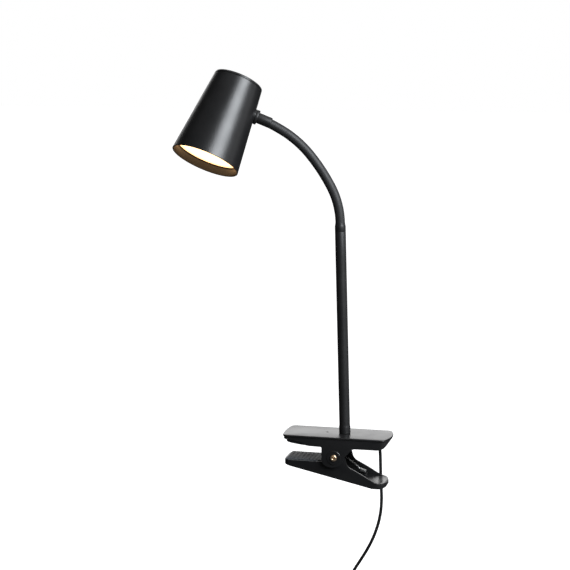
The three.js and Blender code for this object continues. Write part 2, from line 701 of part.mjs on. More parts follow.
// Half of the switch's casing, split in the middle of its thickness.
function switchHalf(side) {
  const half = SWITCH_WIDTH / 2;
  const middle = (SWITCH_TOP + SWITCH_BOTTOM) / 2;
  const shape = outline([
    [-2.6, SWITCH_TOP], [2.6, SWITCH_TOP],
    ['Q', 3.2, SWITCH_TOP - 7, half - 1, SWITCH_TOP - 9],
    ['Q', half + 0.4, middle, half - 1, SWITCH_BOTTOM + 9],
    ['Q', 3.2, SWITCH_BOTTOM + 7, 2.6, SWITCH_BOTTOM], [-2.6, SWITCH_BOTTOM],
    ['Q', -3.2, SWITCH_BOTTOM + 7, -half + 1, SWITCH_BOTTOM + 9],
    ['Q', -half - 0.4, middle, -half + 1, SWITCH_TOP - 9],
    ['Q', -3.2, SWITCH_TOP - 7, -2.6, SWITCH_TOP],
  ]);
  const outerFace = side * SWITCH_THICK / 2;
  const split = side * 0.15;
  const shell = across(shape, Math.min(outerFace, split), Math.max(outerFace, split), 5);
  const room = [side * 4.2, side * -1].sort((a, b) => a - b);
  const hollow = box(-6, 6, room[0], room[1], SWITCH_BOTTOM + 10, SWITCH_TOP - 10);
  const bore = rod(CORD_R + GAP, SWITCH_BOTTOM - 5, SWITCH_TOP + 5, 12);
  return cut(shell, hollow, bore);
}

const switchFrame = group(clip, { x: DROP_X, y: DROP_Y });
const ROCKER_Z = (SWITCH_TOP + SWITCH_BOTTOM) / 2;
part(switchFrame, 'switch_base', switchHalf(1), blackPlastic());
part(switchFrame, 'switch_cover', cut(
  switchHalf(-1), box(-4.6, 4.6, -9, -3, ROCKER_Z - 7.6, ROCKER_Z + 7.6),
), blackPlastic());

// The rocker tips about a line along X, in front of the casing's split.
const ROCKER_Y = -3.5;
const ROCKER_TILT = 7;
part(switchFrame, 'switch_rocker', across(outline([
  [-3.4, -6.9], ['Q', -2.3, 0, -3.4, 6.9], [-1.2, 6.9], [1.6, 2.4], [1.6, -2.4], [-1.2, -6.9],
]), -4.2, 4.2)
  .rotateZ(Math.PI / 2).rotateX(ROCKER_TILT * RAD).translate(0, ROCKER_Y, ROCKER_Z), blackPlastic());

const HANK_DEPTH = HANK_LAYERS * 2 * CORD_R + 0.4;
const OUTER_FOLD = HANK_FOLD + (HANK_RINGS - 1) * 2 * CORD_R;
const HANK_OUT = OUTER_FOLD + CORD_R + 0.2;
const HANK_X = DROP_X + OUTER_FOLD;      // the outer run hangs straight under the switch
const HANK_Y = DROP_Y - (HANK_LAYERS - 1) * CORD_R;
const HANK_TOP = SWITCH_BOTTOM - GAP;
const HANK_Z = HANK_TOP - HANK_OUT - HANK_RUN / 2;

function hankOutline(grow) {
  const radius = HANK_OUT + grow;
  const reach = HANK_RUN / 2;
  const shape = new THREE.Shape();
  shape.absarc(0, reach, radius, 0, Math.PI, false);
  shape.absarc(0, -reach, radius, Math.PI, 2 * Math.PI, false);
  shape.closePath();
  return shape;
}

const hankFrame = group(clip, { x: HANK_X, y: HANK_Y, z: HANK_Z });
part(hankFrame, 'cord_hank', across(hankOutline(0), -HANK_DEPTH / 2, HANK_DEPTH / 2, 10), blackRubber());
const TIE_OUT = HANK_OUT + 1.5;
const TIE_DEEP = HANK_DEPTH / 2 + 1.5;
part(hankFrame, 'hank_tie', cut(
  box(-TIE_OUT, TIE_OUT, -TIE_DEEP, TIE_DEEP, -5, 5),
  box(-HANK_OUT - GAP, HANK_OUT + GAP, -TIE_DEEP + 1.2, TIE_DEEP - 1.2, -9, 9),
), blackRubber());

// The plug hangs below the hank's last run.
const PLUG_TOP = HANK_Z - HANK_RUN / 2 - HANK_OUT - GAP;
const plug = group(clip, { x: DROP_X, y: DROP_Y - (HANK_LAYERS - 1) * 2 * CORD_R, z: PLUG_TOP });
const plugBody = join(
  turned([[0, 0], [2.5, 0], [3.1, -8], [3.1, -11], [0, -11]], 16),
  upright(roundedRectangle(-7.6, 7.6, -3.9, 3.9, 1.6), -PLUG_BODY, -9, 4),
);
part(plug, 'usb_plug_body', cut(plugBody, rod(CORD_R + GAP, -6, 3, 12)), blackPlastic());
part(plug, 'usb_plug_shell', cut(
  box(-6, 6, -2.25, 2.25, -PLUG_BODY - GAP - PLUG_SHELL, -PLUG_BODY - GAP),
  box(-5.7, 5.7, -1.95, 1.95, -60, -PLUG_BODY - 1.5),
), steel());
part(plug, 'usb_tongue', box(
  -5.3, 5.3, -1.6, 0.3, -PLUG_BODY - PLUG_SHELL + 1, -PLUG_BODY - 2,
), whitePlastic());

export default lamp;
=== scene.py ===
"""Clip-on reading lamp: the finished pieces, their looks, the light and the camera, built
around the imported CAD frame."""

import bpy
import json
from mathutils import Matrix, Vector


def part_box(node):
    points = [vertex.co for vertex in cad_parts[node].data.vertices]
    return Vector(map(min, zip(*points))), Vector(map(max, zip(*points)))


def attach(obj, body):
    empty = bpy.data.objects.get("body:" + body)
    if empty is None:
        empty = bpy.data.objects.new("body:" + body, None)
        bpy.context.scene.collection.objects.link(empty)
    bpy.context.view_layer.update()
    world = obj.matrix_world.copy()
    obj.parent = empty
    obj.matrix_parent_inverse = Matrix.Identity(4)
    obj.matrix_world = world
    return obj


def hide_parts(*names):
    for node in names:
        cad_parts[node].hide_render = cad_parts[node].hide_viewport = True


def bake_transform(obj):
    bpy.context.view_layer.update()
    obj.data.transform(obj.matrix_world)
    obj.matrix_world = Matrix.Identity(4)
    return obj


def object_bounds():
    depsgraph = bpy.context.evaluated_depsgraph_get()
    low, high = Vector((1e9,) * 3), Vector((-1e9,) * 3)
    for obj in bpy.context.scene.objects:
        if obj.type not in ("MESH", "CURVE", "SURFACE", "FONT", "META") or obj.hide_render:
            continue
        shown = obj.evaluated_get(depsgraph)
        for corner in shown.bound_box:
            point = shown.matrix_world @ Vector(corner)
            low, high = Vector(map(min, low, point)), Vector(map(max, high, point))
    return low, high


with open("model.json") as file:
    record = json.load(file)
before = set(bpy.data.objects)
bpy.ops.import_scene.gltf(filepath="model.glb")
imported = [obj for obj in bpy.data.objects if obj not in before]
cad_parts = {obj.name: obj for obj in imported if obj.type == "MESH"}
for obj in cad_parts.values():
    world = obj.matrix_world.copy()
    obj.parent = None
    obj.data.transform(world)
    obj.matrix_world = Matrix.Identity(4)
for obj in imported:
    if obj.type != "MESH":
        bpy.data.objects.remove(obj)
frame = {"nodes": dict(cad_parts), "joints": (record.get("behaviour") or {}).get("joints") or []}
CAD_BOX = [list(corner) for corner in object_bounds()]

import json
import math

import bpy
from bpy.props import FloatProperty, FloatVectorProperty, IntProperty, PointerProperty
from mathutils import Matrix, Vector

bl_info = {
    "name": "Clip-on Reading Lamp",
    "version": (1, 0, 0),
    "blender": (4, 5, 0),
    "location": "View3D > Sidebar > Reading Lamp",
    "description": "Models a clip-on reading lamp around its CAD frame",
    "category": "Add Mesh",
}

MM = 0.001
JOINTS = {joint["name"]: joint for joint in frame["joints"]}


# ------------ sizes and colours

class ReadingLampSizes(bpy.types.PropertyGroup):
    """Sizes that a maker would change."""

    plate_edge: FloatProperty(
        name="Plate Edge", description="Rounding of the clip plate's edge",
        default=0.0009, unit="LENGTH")
    mould_edge: FloatProperty(
        name="Mould Edge", description="Rounding of the clip's other edges",
        default=0.0004, unit="LENGTH")
    rib_pitch: FloatProperty(
        name="Rib Pitch", description="Pitch of the winding that shows through the neck's sleeve",
        default=0.0021, unit="LENGTH")
    shade_wall: FloatProperty(
        name="Shade Wall", description="Thickness of the shade's sheet",
        default=0.0011, unit="LENGTH")
    lead_diameter: FloatProperty(
        name="Lead Diameter", description="Diameter of the round lead",
        default=0.0032, unit="LENGTH")
    round_steps: IntProperty(
        name="Round Steps", description="Steps round a turned piece", default=96, min=12)


class ReadingLampFinish(bpy.types.PropertyGroup):
    """Colours and light that a maker would change."""

    clip_black: FloatVectorProperty(
        name="Clip Black", description="Colour of the clip's moulded plastic",
        default=(0.0085, 0.0085, 0.0092), subtype="COLOR", size=3)
    shade_black: FloatVectorProperty(
        name="Shade Black", description="Colour of the shade's satin paint",
        default=(0.0075, 0.0075, 0.008), subtype="COLOR", size=3)
    sleeve_black: FloatVectorProperty(
        name="Sleeve Black", description="Colour of the neck's sleeve",
        default=(0.011, 0.011, 0.012), subtype="COLOR", size=3)
    pad_grey: FloatVectorProperty(
        name="Pad Grey", description="Colour of the jaws' rubber pads",
        default=(0.036, 0.042, 0.05), subtype="COLOR", size=3)
    warm_light: FloatVectorProperty(
        name="Warm Light", description="Colour of the lit diffuser",
        default=(1.0, 0.62, 0.31), subtype="COLOR", size=3)
    diffuser_power: FloatProperty(
        name="Diffuser Power", description="Strength of the lit diffuser", default=3.2, min=0)


def sizes():
    return bpy.context.scene.reading_lamp_sizes


def finish():
    return bpy.context.scene.reading_lamp_finish


# ------------ places, from the frame

NECK_TURN = math.radians(12)
STEM_LEAN = math.radians(1.55)
STEM_FOOT = 203.3                      # plate to the turning foot, along the stem
NECK_START = 212
NECK_LINKS = ((36.2, 25.9), (38, 11.7), (35.5, 19.3), (28, 9.1))
HEAD_OUT = 30.2
HEAD_ROLL = math.radians(21)
PIVOT = (-6.9, -20.7)                  # x and z in the clip's frame


def turn(degrees, axis):
    return Matrix.Rotation(math.radians(degrees), 4, axis)


def shift(x, y, z):
    return Matrix.Translation(Vector((x, y, z)) * MM)


def stem_base():
    foot = JOINTS["neck_turn"]
    return Vector(foot["pos_m"]) - Vector(foot["axis"]).normalized() * STEM_FOOT * MM


def arc_point(length, bend, s):
    radius = length / math.radians(bend)
    angle = s / radius
    return Vector((-radius * (1 - math.cos(angle)), 0, radius * math.sin(angle)))


CLIP = Matrix.Translation(stem_base())
STEM = CLIP @ Matrix.Rotation(NECK_TURN, 4, "Z") @ Matrix.Rotation(-STEM_LEAN, 4, "Y")
LINK = [STEM @ shift(0, 0, NECK_START)]
for link_length, link_bend in NECK_LINKS:
    tip = arc_point(link_length, link_bend, link_length)
    LINK.append(LINK[-1] @ shift(*tip) @ turn(-link_bend, "Y"))
NECK_END = LINK[-1]
HEAD = NECK_END @ shift(0, 0, HEAD_OUT) @ Matrix.Rotation(HEAD_ROLL, 4, "Z") @ turn(90, "Y")


# ------------ modelling helpers

def deselect_all():
    if bpy.context.mode != "OBJECT":
        bpy.ops.object.mode_set(mode="OBJECT")
    bpy.ops.object.select_all(action="DESELECT")


def activate(piece):
    deselect_all()
    piece.select_set(True)
    bpy.context.view_layer.objects.active = piece


def new_vertex(name, point):
    """A new piece of one vertex, in edit mode, at a point in millimetres."""
    deselect_all()
    bpy.ops.mesh.primitive_plane_add(size=MM)
    piece = bpy.context.object
    piece.name = piece.data.name = name
    bpy.ops.object.mode_set(mode="EDIT")
    bpy.ops.mesh.select_all(action="SELECT")
    bpy.ops.mesh.merge(type="CENTER")
    bpy.ops.transform.translate(value=Vector(point) * MM)
    return piece


def trace(points):
    """Extrudes the selected vertex from point to point."""
    for start, stop in zip(points, points[1:]):
        step = (Vector(stop) - Vector(start)) * MM
        bpy.ops.mesh.extrude_vertices_move(TRANSFORM_OT_translate={"value": step})


def edit_all(piece):
    """Enters edit mode with all of a piece selected."""
    activate(piece)
    bpy.ops.object.mode_set(mode="EDIT")
    bpy.ops.mesh.select_all(action="SELECT")


def mend(piece):
    """Merges doubled vertices, turns the faces outwards and leaves edit mode."""
    bpy.ops.mesh.select_all(action="SELECT")
    bpy.ops.mesh.remove_doubles(threshold=MM * 0.002)
    bpy.ops.mesh.normals_make_consistent(inside=False)
    bpy.ops.object.mode_set(mode="OBJECT")
    return piece


def smooth(piece, angle=32):
    activate(piece)
    bpy.ops.object.shade_smooth_by_angle(angle=math.radians(angle))
    return piece


def apply_modifier(piece, kind, **values):
    activate(piece)
    modifier = piece.modifiers.new(kind.title(), kind)
    for key, value in values.items():
        setattr(modifier, key, value)
    bpy.ops.object.modifier_apply(modifier=modifier.name)
    return piece


def soften(piece, width, segments=3, angle=33):
    """Rounds the sharp edges. The width is in metres."""
    apply_modifier(
        piece, "BEVEL", width=width, segments=segments, limit_method="ANGLE",
        angle_limit=math.radians(angle), use_clamp_overlap=True, miter_outer="MITER_ARC")
    return smooth(piece)


def combine(piece, tool, operation="DIFFERENCE"):
    """Cuts or joins by a tool piece, which is used up."""
    apply_modifier(piece, "BOOLEAN", object=tool, operation=operation, solver="EXACT")
    bpy.data.objects.remove(tool)
    return piece


def outline(*steps):
    """Points of a flat outline: a pair is a corner, and ("Q", cx, cz, x, z) or
    ("A", cx, cz, radius, from, to) is a round stretch."""
    points = []
    for step in steps:
        if step[0] == "Q":
            x0, z0 = points[-1]
            cx, cz, x1, z1 = step[1:]
            for i in range(1, 11):
                t = i / 10
                a, b, c = (1 - t) ** 2, 2 * t * (1 - t), t * t
                points.append((a * x0 + b * cx + c * x1, a * z0 + b * cz + c * z1))
        elif step[0] == "A":
            cx, cz, radius, start, stop = step[1:]
            count = max(3, int(abs(stop - start) / 7.5))
            for i in range(count + 1):
                angle = math.radians(start + (stop - start) * i / count)
                points.append((cx + radius * math.cos(angle), cz + radius * math.sin(angle)))
        else:
            points.append(tuple(step))
    return points


def rounded_rectangle(x0, x1, y0, y1, corner, bow=0, back_bow=None):
    """A rounded rectangle whose ends may bow outwards, at x1 and at x0."""
    middle = (y0 + y1) / 2
    back_bow = bow if back_bow is None else back_bow
    near = corner * 0.15
    return outline(
        (x0 + corner, y0), (x1 - corner, y0), ("Q", x1 - near, y0 + near, x1, y0 + corner),
        ("Q", x1 + bow, middle, x1, y1 - corner),
        ("Q", x1 - near, y1 - near, x1 - corner, y1), (x0 + corner, y1),
        ("Q", x0 + near, y1 - near, x0, y1 - corner),
        ("Q", x0 - back_bow, middle, x0, y0 + corner),
        ("Q", x0 + near, y0 + near, x0 + corner, y0))[:-1]


def extruded(name, points, step):
    """Draws a closed outline by extruding a vertex, fills it and extrudes the face."""
    piece = new_vertex(name, points[0])
    trace(points)
    bpy.ops.mesh.select_all(action="SELECT")
    bpy.ops.mesh.edge_face_add()
    bpy.ops.mesh.extrude_region_move(TRANSFORM_OT_translate={"value": Vector(step) * MM})
    return mend(piece)


def across(name, flat, low, high):
    """An outline in X and Z, extruded along Y."""
    return extruded(name, [(x, low, z) for x, z in flat], (0, high - low, 0))


def upright(name, flat, low, high):
    """An outline in X and Y, extruded along Z."""
    return extruded(name, [(x, y, low) for x, y in flat], (0, 0, high - low))


def block(name, x0, x1, y0, y1, z0, z1):
    return upright(name, [(x0, y0), (x1, y0), (x1, y1), (x0, y1)], z0, z1)


def turned(name, profile, steps=None):
    """Draws a profile of (radius, height) pairs and spins it round Z."""
    points = [(radius, 0, height) for radius, height in profile]
    piece = new_vertex(name, points[0])
    trace(points)
    bpy.ops.mesh.select_all(action="SELECT")
    bpy.ops.mesh.spin(
        steps=steps or sizes().round_steps, angle=2 * math.pi, center=(0, 0, 0), axis=(0, 0, 1))
    return mend(piece)


def pin(name, radius, low, high, steps):
    """A plain round bar along Z."""
    return turned(name, [(0, low), (radius, low), (radius, high), (0, high)], steps)


def place(piece, matrix):
    """Moves a piece to its place and keeps the place in its mesh."""
    activate(piece)
    piece.matrix_world = matrix
    bpy.ops.object.transform_apply(location=True, rotation=True, scale=True)
    return piece


def dress(piece, look):
    piece.data.materials.clear()
    piece.data.materials.append(material(look))


def hand_in(piece, body, look, slot, *nodes):
    """Gives a finished piece its look and its body, and hides the CAD nodes that it stands for."""
    dress(piece, look)
    if body:
        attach(piece, body)
    if nodes:
        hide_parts(*nodes)
    return piece


# ------------ shader groups

NUMBER = "NodeSocketFloat"


def new_group(name, inputs, outputs):
    group = bpy.data.node_groups.new(name, "ShaderNodeTree")
    for label, kind, default in inputs:
        socket = group.interface.new_socket(label, in_out="INPUT", socket_type=kind)
        socket.default_value = default
    for label, kind in outputs:
        group.interface.new_socket(label, in_out="OUTPUT", socket_type=kind)
    tree = group.nodes
    return group, tree.new("NodeGroupInput"), tree.new("NodeGroupOutput")


def feed(group, socket, value):
    """Gives a socket a plain value, or links another node's output to it."""
    if isinstance(value, (int, float)):
        socket.default_value = value
    else:
        group.links.new(value, socket)


def set_inputs(node, values):
    for label, value in values.items():
        node.inputs[label].default_value = value


def math_node(group, operation, first, second=None, clamp=False):
    node = group.nodes.new("ShaderNodeMath")
    node.operation = operation
    node.use_clamp = clamp
    for socket, value in zip(node.inputs, (first, second)):
        if value is not None:
            feed(group, socket, value)
    return node.outputs[0]


def noise(group, vector, scale, detail=3, roughness=0.5):
    node = group.nodes.new("ShaderNodeTexNoise")
    set_inputs(node, {"Detail": detail, "Roughness": roughness})
    feed(group, node.inputs["Scale"], scale)
    group.links.new(vector, node.inputs["Vector"])
    return node.outputs["Fac"]


def remap(group, value, low, high, to_low, to_high):
    node = group.nodes.new("ShaderNodeMapRange")
    for label, number in (("Value", value), ("From Min", low), ("From Max", high),
                          ("To Min", to_low), ("To Max", to_high)):
        feed(group, node.inputs[label], number)
    return node.outputs["Result"]


def object_vector(group):
    return group.nodes.new("ShaderNodeTexCoord").outputs["Object"]


def make_grain_group():
    """Fine moulded or painted grain: a height and a roughness that vary over the surface."""
    group, given, result = new_group(
        "Surface Grain",
        [("Size", NUMBER, 900.0), ("Depth", NUMBER, 1.0), ("Roughness", NUMBER, 0.4),
         ("Variation", NUMBER, 0.05)],
        [("Height", NUMBER), ("Roughness", NUMBER)])
    vector = object_vector(group)
    fine = noise(group, vector, given.outputs["Size"], 2)
    height = math_node(group, "MULTIPLY", fine, given.outputs["Depth"])
    broad = noise(group, vector, 60, 4)
    centred = math_node(group, "SUBTRACT", broad, 0.5)
    swing = math_node(group, "MULTIPLY", centred, given.outputs["Variation"])
    doubled = math_node(group, "MULTIPLY", swing, 4)
    rough = math_node(group, "ADD", given.outputs["Roughness"], doubled, clamp=True)
    group.links.new(height, result.inputs["Height"])
    group.links.new(rough, result.inputs["Roughness"])
    return group


def make_dust_group():
    """A thin broken film of dust and fingermarks that lightens a dark colour."""
    group, given, result = new_group(
        "Dust Film",
        [("Color", "NodeSocketColor", (0.01, 0.01, 0.01, 1)),
         ("Amount", NUMBER, 0.1)],
        [("Color", "NodeSocketColor"), ("Mask", NUMBER)])
    vector = object_vector(group)
    patches = remap(group, noise(group, vector, 35, 5, 0.65), 0.42, 0.75, 0, 1)
    specks = remap(group, noise(group, vector, 1400, 1), 0.66, 0.74, 0, 0.7)
    both = math_node(group, "ADD", patches, specks, clamp=True)
    mask = math_node(group, "MULTIPLY", both, given.outputs["Amount"])
    mix = group.nodes.new("ShaderNodeMix")
    mix.data_type = "RGBA"
    mix.inputs["B"].default_value = (0.22, 0.21, 0.2, 1)
    group.links.new(mask, mix.inputs["Factor"])
    group.links.new(given.outputs["Color"], mix.inputs["A"])
    group.links.new(mix.outputs["Result"], result.inputs["Color"])
    group.links.new(mask, result.inputs["Mask"])
    return group


def make_brush_group():
    """Fine turned or drawn lines on bare metal."""
    group, given, result = new_group(
        "Drawn Lines",
        [("Stretch", "NodeSocketVector", (1, 1, 1)), ("Roughness", NUMBER, 0.3)],
        [("Height", NUMBER), ("Roughness", NUMBER)])
    scaled = group.nodes.new("ShaderNodeVectorMath")
    scaled.operation = "MULTIPLY"
    group.links.new(object_vector(group), scaled.inputs[0])
    group.links.new(given.outputs["Stretch"], scaled.inputs[1])
    lines = noise(group, scaled.outputs["Vector"], 400, 3)
    swing = remap(group, lines, 0.3, 0.7, -0.1, 0.12)
    rough = math_node(group, "ADD", given.outputs["Roughness"], swing, clamp=True)
    group.links.new(lines, result.inputs["Height"])
    group.links.new(rough, result.inputs["Roughness"])
    return group


GROUPS = {}


def shader_group(name):
    makers = {"grain": make_grain_group, "dust": make_dust_group, "brush": make_brush_group}
    if name not in GROUPS:
        GROUPS[name] = makers[name]()
    return GROUPS[name]


def material_tree(name):
    material = bpy.data.materials.new(name)
    material.use_nodes = True
    tree = material.node_tree
    return material, tree, tree.nodes["Principled BSDF"]


def add_group(tree, name, **values):
    node = tree.nodes.new("ShaderNodeGroup")
    node.node_tree = shader_group(name)
    set_inputs(node, values)
    return node


def add_bump(tree, shader, height, strength, distance):
    bump = tree.nodes.new("ShaderNodeBump")
    set_inputs(bump, {"Strength": strength, "Distance": distance})
    tree.links.new(height, bump.inputs["Height"])
    tree.links.new(bump.outputs["Normal"], shader.inputs["Normal"])


def cover_with(tree, shader, film, surface):
    """Takes the colour from a dust film and the gloss from a grain or from drawn lines."""
    tree.links.new(film.outputs["Color"], shader.inputs["Base Color"])
    tree.links.new(surface.outputs["Roughness"], shader.inputs["Roughness"])


GRAIN_RELIEF = 0.00004                 # metres of height behind each bump
DRAWN_RELIEF = 0.00003
RIB_RELIEF = 0.0001


def coated(name, color, roughness, grain, bump, variation, dust, specular=0.5):
    """Plastic, paint or rubber: a dark colour under dust, with grain in its gloss and relief."""
    material, tree, shader = material_tree(name)
    film = add_group(tree, "dust", Color=(*color, 1), Amount=dust)
    surface = add_group(tree, "grain", Size=grain, Roughness=roughness, Variation=variation)
    cover_with(tree, shader, film, surface)
    add_bump(tree, shader, surface.outputs["Height"], bump, GRAIN_RELIEF)
    shader.inputs["Specular IOR Level"].default_value = specular
    return material


def bare_metal(name, color, roughness, stretch=(1, 1, 12)):
    """Bare or plated metal with fine drawn lines and a slightly uneven tone."""
    material, tree, shader = material_tree(name)
    lines = add_group(tree, "brush", Stretch=stretch, Roughness=roughness)
    film = add_group(tree, "dust", Color=(*color, 1), Amount=0.12)
    cover_with(tree, shader, film, lines)
    add_bump(tree, shader, lines.outputs["Height"], 0.25, DRAWN_RELIEF)
    shader.inputs["Metallic"].default_value = 1.0
    return material


def sleeve_finish():
    """The neck's sleeve: fine rings along its length, from the piece's own attribute."""
    material, tree, shader = material_tree("neck sleeve")
    length = tree.nodes.new("ShaderNodeAttribute")
    length.attribute_name = "length_along"
    cycle = math_node(tree, "MULTIPLY", length.outputs["Fac"], 2 * math.pi / sizes().rib_pitch)
    wave = math_node(tree, "SINE", cycle)
    surface = add_group(tree, "grain", Size=1500.0, Roughness=0.58, Variation=0.06)
    film = add_group(tree, "dust", Color=(*finish().sleeve_black, 1), Amount=0.045)
    ribs = math_node(tree, "MULTIPLY", wave, 0.5)
    relief = math_node(tree, "ADD", ribs, surface.outputs["Height"])
    cover_with(tree, shader, film, surface)
    add_bump(tree, shader, relief, 0.35, RIB_RELIEF)
    return material


def diffuser_finish():
    """Opal plastic, lit warm white, brighter in the middle than at its rim."""
    material, tree, shader = material_tree("lit diffuser")
    rim = tree.nodes.new("ShaderNodeAttribute")
    rim.attribute_name = "rim_share"
    mottle = noise(tree, object_vector(tree), 180, 2)
    wobble = remap(tree, mottle, 0.3, 0.7, -0.02, 0.02)
    share = math_node(tree, "ADD", rim.outputs["Fac"], wobble, clamp=True)
    ramp = tree.nodes.new("ShaderNodeValToRGB")
    red, green, blue = finish().warm_light
    centre, edge = ramp.color_ramp.elements
    centre.position, edge.position = 0.8, 1.0
    centre.color = (red, green, blue, 1)
    edge.color = (red, green * 0.82, blue * 0.62, 1)
    tree.links.new(share, ramp.inputs["Fac"])
    tree.links.new(ramp.outputs["Color"], shader.inputs["Emission Color"])
    tint = remap(tree, mottle, 0.2, 0.8, 0.45, 0.55)
    tree.links.new(tint, shader.inputs["Roughness"])
    set_inputs(shader, {
        "Base Color": (0.85, 0.84, 0.8, 1), "Emission Strength": finish().diffuser_power})
    return material


MATERIALS = {}


def material(name):
    """The named finish, made the first time that a piece asks for it."""
    look = finish()
    makers = {
        "clip": lambda: coated(
            "clip plastic", look.clip_black, 0.3, 260, 0.06, 0.03, 0.02, specular=0.55),
        "pad": lambda: coated("pad rubber", look.pad_grey, 0.62, 1600, 0.5, 0.08, 0.06),
        "stem": lambda: coated("stem paint", look.shade_black, 0.48, 1300, 0.12, 0.04, 0.03),
        "shade": lambda: coated("shade paint", look.shade_black, 0.36, 1500, 0.16, 0.03, 0.02),
        "sleeve": sleeve_finish,
        "lead": lambda: coated("lead sheath", (0.006, 0.006, 0.006), 0.42, 1400, 0.2, 0.06, 0.03),
        "switch": lambda: coated("switch plastic", look.clip_black, 0.34, 1800, 0.5, 0.05, 0.05),
        "tie": lambda: coated("tie webbing", (0.012, 0.012, 0.013), 0.85, 1900, 1.0, 0.1, 0.12),
        "steel": lambda: bare_metal("zinc steel", (0.5, 0.5, 0.49), 0.32),
        "spring": lambda: bare_metal("spring steel", (0.55, 0.55, 0.54), 0.45, (1, 1, 1)),
        "brass": lambda: bare_metal("brassed steel", (0.66, 0.5, 0.34), 0.42, (1, 1, 1)),
        "aluminium": lambda: bare_metal("cast aluminium", (0.62, 0.63, 0.65), 0.42),
        "nickel": lambda: bare_metal("nickel plate", (0.62, 0.61, 0.58), 0.2, (1, 1, 9)),
        "white": lambda: coated("white plastic", (0.72, 0.72, 0.68), 0.45, 900, 0.15, 0.04, 0.1),
        "thermal": lambda: coated("thermal pad", (0.3, 0.33, 0.38), 0.8, 1300, 0.5, 0.05, 0.1),
        "board": lambda: coated("board mask", (0.8, 0.8, 0.76), 0.35, 700, 0.1, 0.04, 0.05),
        "phosphor": lambda: coated("phosphor", (0.85, 0.6, 0.12), 0.5, 1500, 0.4, 0.05, 0.02),
        "red": lambda: coated("red insulation", (0.35, 0.02, 0.015), 0.4, 1500, 0.2, 0.05, 0.04),
        "diffuser": diffuser_finish,
    }
    if name not in MATERIALS:
        MATERIALS[name] = makers[name]()
    return MATERIALS[name]


# ------------ camera

CAMERA_AIM = Vector((-0.0356, 0.0083, 0.1568))
CAMERA_DISTANCE = 1.7
CAMERA_AZIMUTH = math.radians(13.65)
CAMERA_HEIGHT = math.radians(9)
CAMERA_LENS = 107.37


class READINGLAMP_OT_camera(bpy.types.Operator):
    """Adds the camera"""
    bl_idname = "reading_lamp.camera"
    bl_label = "Camera"

    def execute(self, context):
        out = Vector((
            math.sin(CAMERA_AZIMUTH) * math.cos(CAMERA_HEIGHT),
            -math.cos(CAMERA_AZIMUTH) * math.cos(CAMERA_HEIGHT),
            math.sin(CAMERA_HEIGHT)))
        turned_to = (-out).to_track_quat("-Z", "Y").to_euler()
        bpy.ops.object.camera_add(
            location=CAMERA_AIM + out * CAMERA_DISTANCE, rotation=turned_to)
        camera = context.object
        camera.data.lens = CAMERA_LENS
        camera.data.sensor_width = 36
        camera.data.clip_end = 50
        context.scene.camera = camera
        return {"FINISHED"}


# ------------ lead

LEAD_DROP = (                          # millimetres in the clip's frame, gland to switch
    (32.6, 15.2, -10.7), (32.6, 15.4, -14), (32.6, 16.9, -18.8), (32.6, 19, -23.6),
    (32.7, 19.8, -29.5), (33.1, 19.8, -42.5), (33.9, 19.8, -60), (34.2, 19.8, -74),
    (32.9, 19.8, -88.5), (28.9, 19.8, -104.5), (22.4, 19.8, -120.5), (14.4, 19.8, -135),
    (6.6, 19.8, -148), (0.8, 19.8, -159.5), (-1.4, 19.8, -169), (-1.5, 19.8, -175),
)
HANK_FOLD = 9.6
HANK_RUN = 45
HANK_SLOTS = (                         # ring and layer of each run, in winding order
    (1, 0), (0, 0), (0, 1), (1, 1), (1, 2), (0, 2), (0, 3), (1, 3),
)


def hank_place(slot, lead):
    """Radius of the fold and depth of the layer, in millimetres."""
    ring, layer = slot
    return HANK_FOLD + ring * lead, -layer * lead


def hank_points(centre, front, lead):
    """Points of a hank that starts and ends on its outer left run. The windings change
    place one after the other while they pass over the top fold."""
    points = []
    half = HANK_RUN / 2
    runs = (0, half / 2, half)
    last = len(HANK_SLOTS) - 1
    window, stagger = 24, 7            # millimetres of a change, and between two changes

    def add(x, depth, height):
        points.append((centre[0] + x, front + depth, centre[2] + height))

    for index, slot in enumerate(HANK_SLOTS):
        radius, depth = hank_place(slot, lead)
        if index == 0:
            add(-radius, depth, half)
            add(-radius, depth, half / 2)
        add(-radius, depth, 0)
        add(-radius, depth, -half / 2)
        add(-radius, depth, -half)
        if index == last:
            break
        for degrees in range(210, 360, 30):
            angle = math.radians(degrees)
            add(radius * math.cos(angle), depth, -half + radius * math.sin(angle))
        add(radius, depth, -half)
        add(radius, depth, -half / 2)
        next_radius, next_depth = hank_place(HANK_SLOTS[index + 1], lead)
        start = (last - 1 - index) * stagger
        arc = math.pi * HANK_FOLD
        for side, height, degrees, travelled in (
                [(1, height, 0, height) for height in runs]
                + [(0, half, d, half + arc * d / 180) for d in range(30, 180, 30)]
                + [(-1, height, 180, 2 * half + arc - height) for height in runs[:0:-1]]):
            share = min(max((travelled - 3 - start) / window, 0), 1)
            share = share * share * (3 - 2 * share)
            r = radius + (next_radius - radius) * share
            d = depth + (next_depth - depth) * share
            if side:
                add(side * r, d, height)
            else:
                angle = math.radians(degrees)
                add(r * math.cos(angle), d, half + r * math.sin(angle))
    return points


def smooth_curve(name, points, diameter, resolution=6):
    """A round cord through points in metres, on one open spline."""
    curve = bpy.data.curves.new(name, "CURVE")
    curve.dimensions = "3D"
    curve.bevel_depth = diameter / 2
    curve.bevel_resolution = 5
    curve.use_fill_caps = True
    curve.resolution_u = resolution
    spline = curve.splines.new("BEZIER")
    spline.bezier_points.add(len(points) - 1)
    for knot, point in zip(spline.bezier_points, points):
        knot.co = point
        knot.handle_left_type = knot.handle_right_type = "AUTO"
    piece = bpy.data.objects.new(name, curve)
    bpy.context.scene.collection.objects.link(piece)
    return piece


def in_clip(points):
    return [CLIP @ (Vector(point) * MM) for point in points]


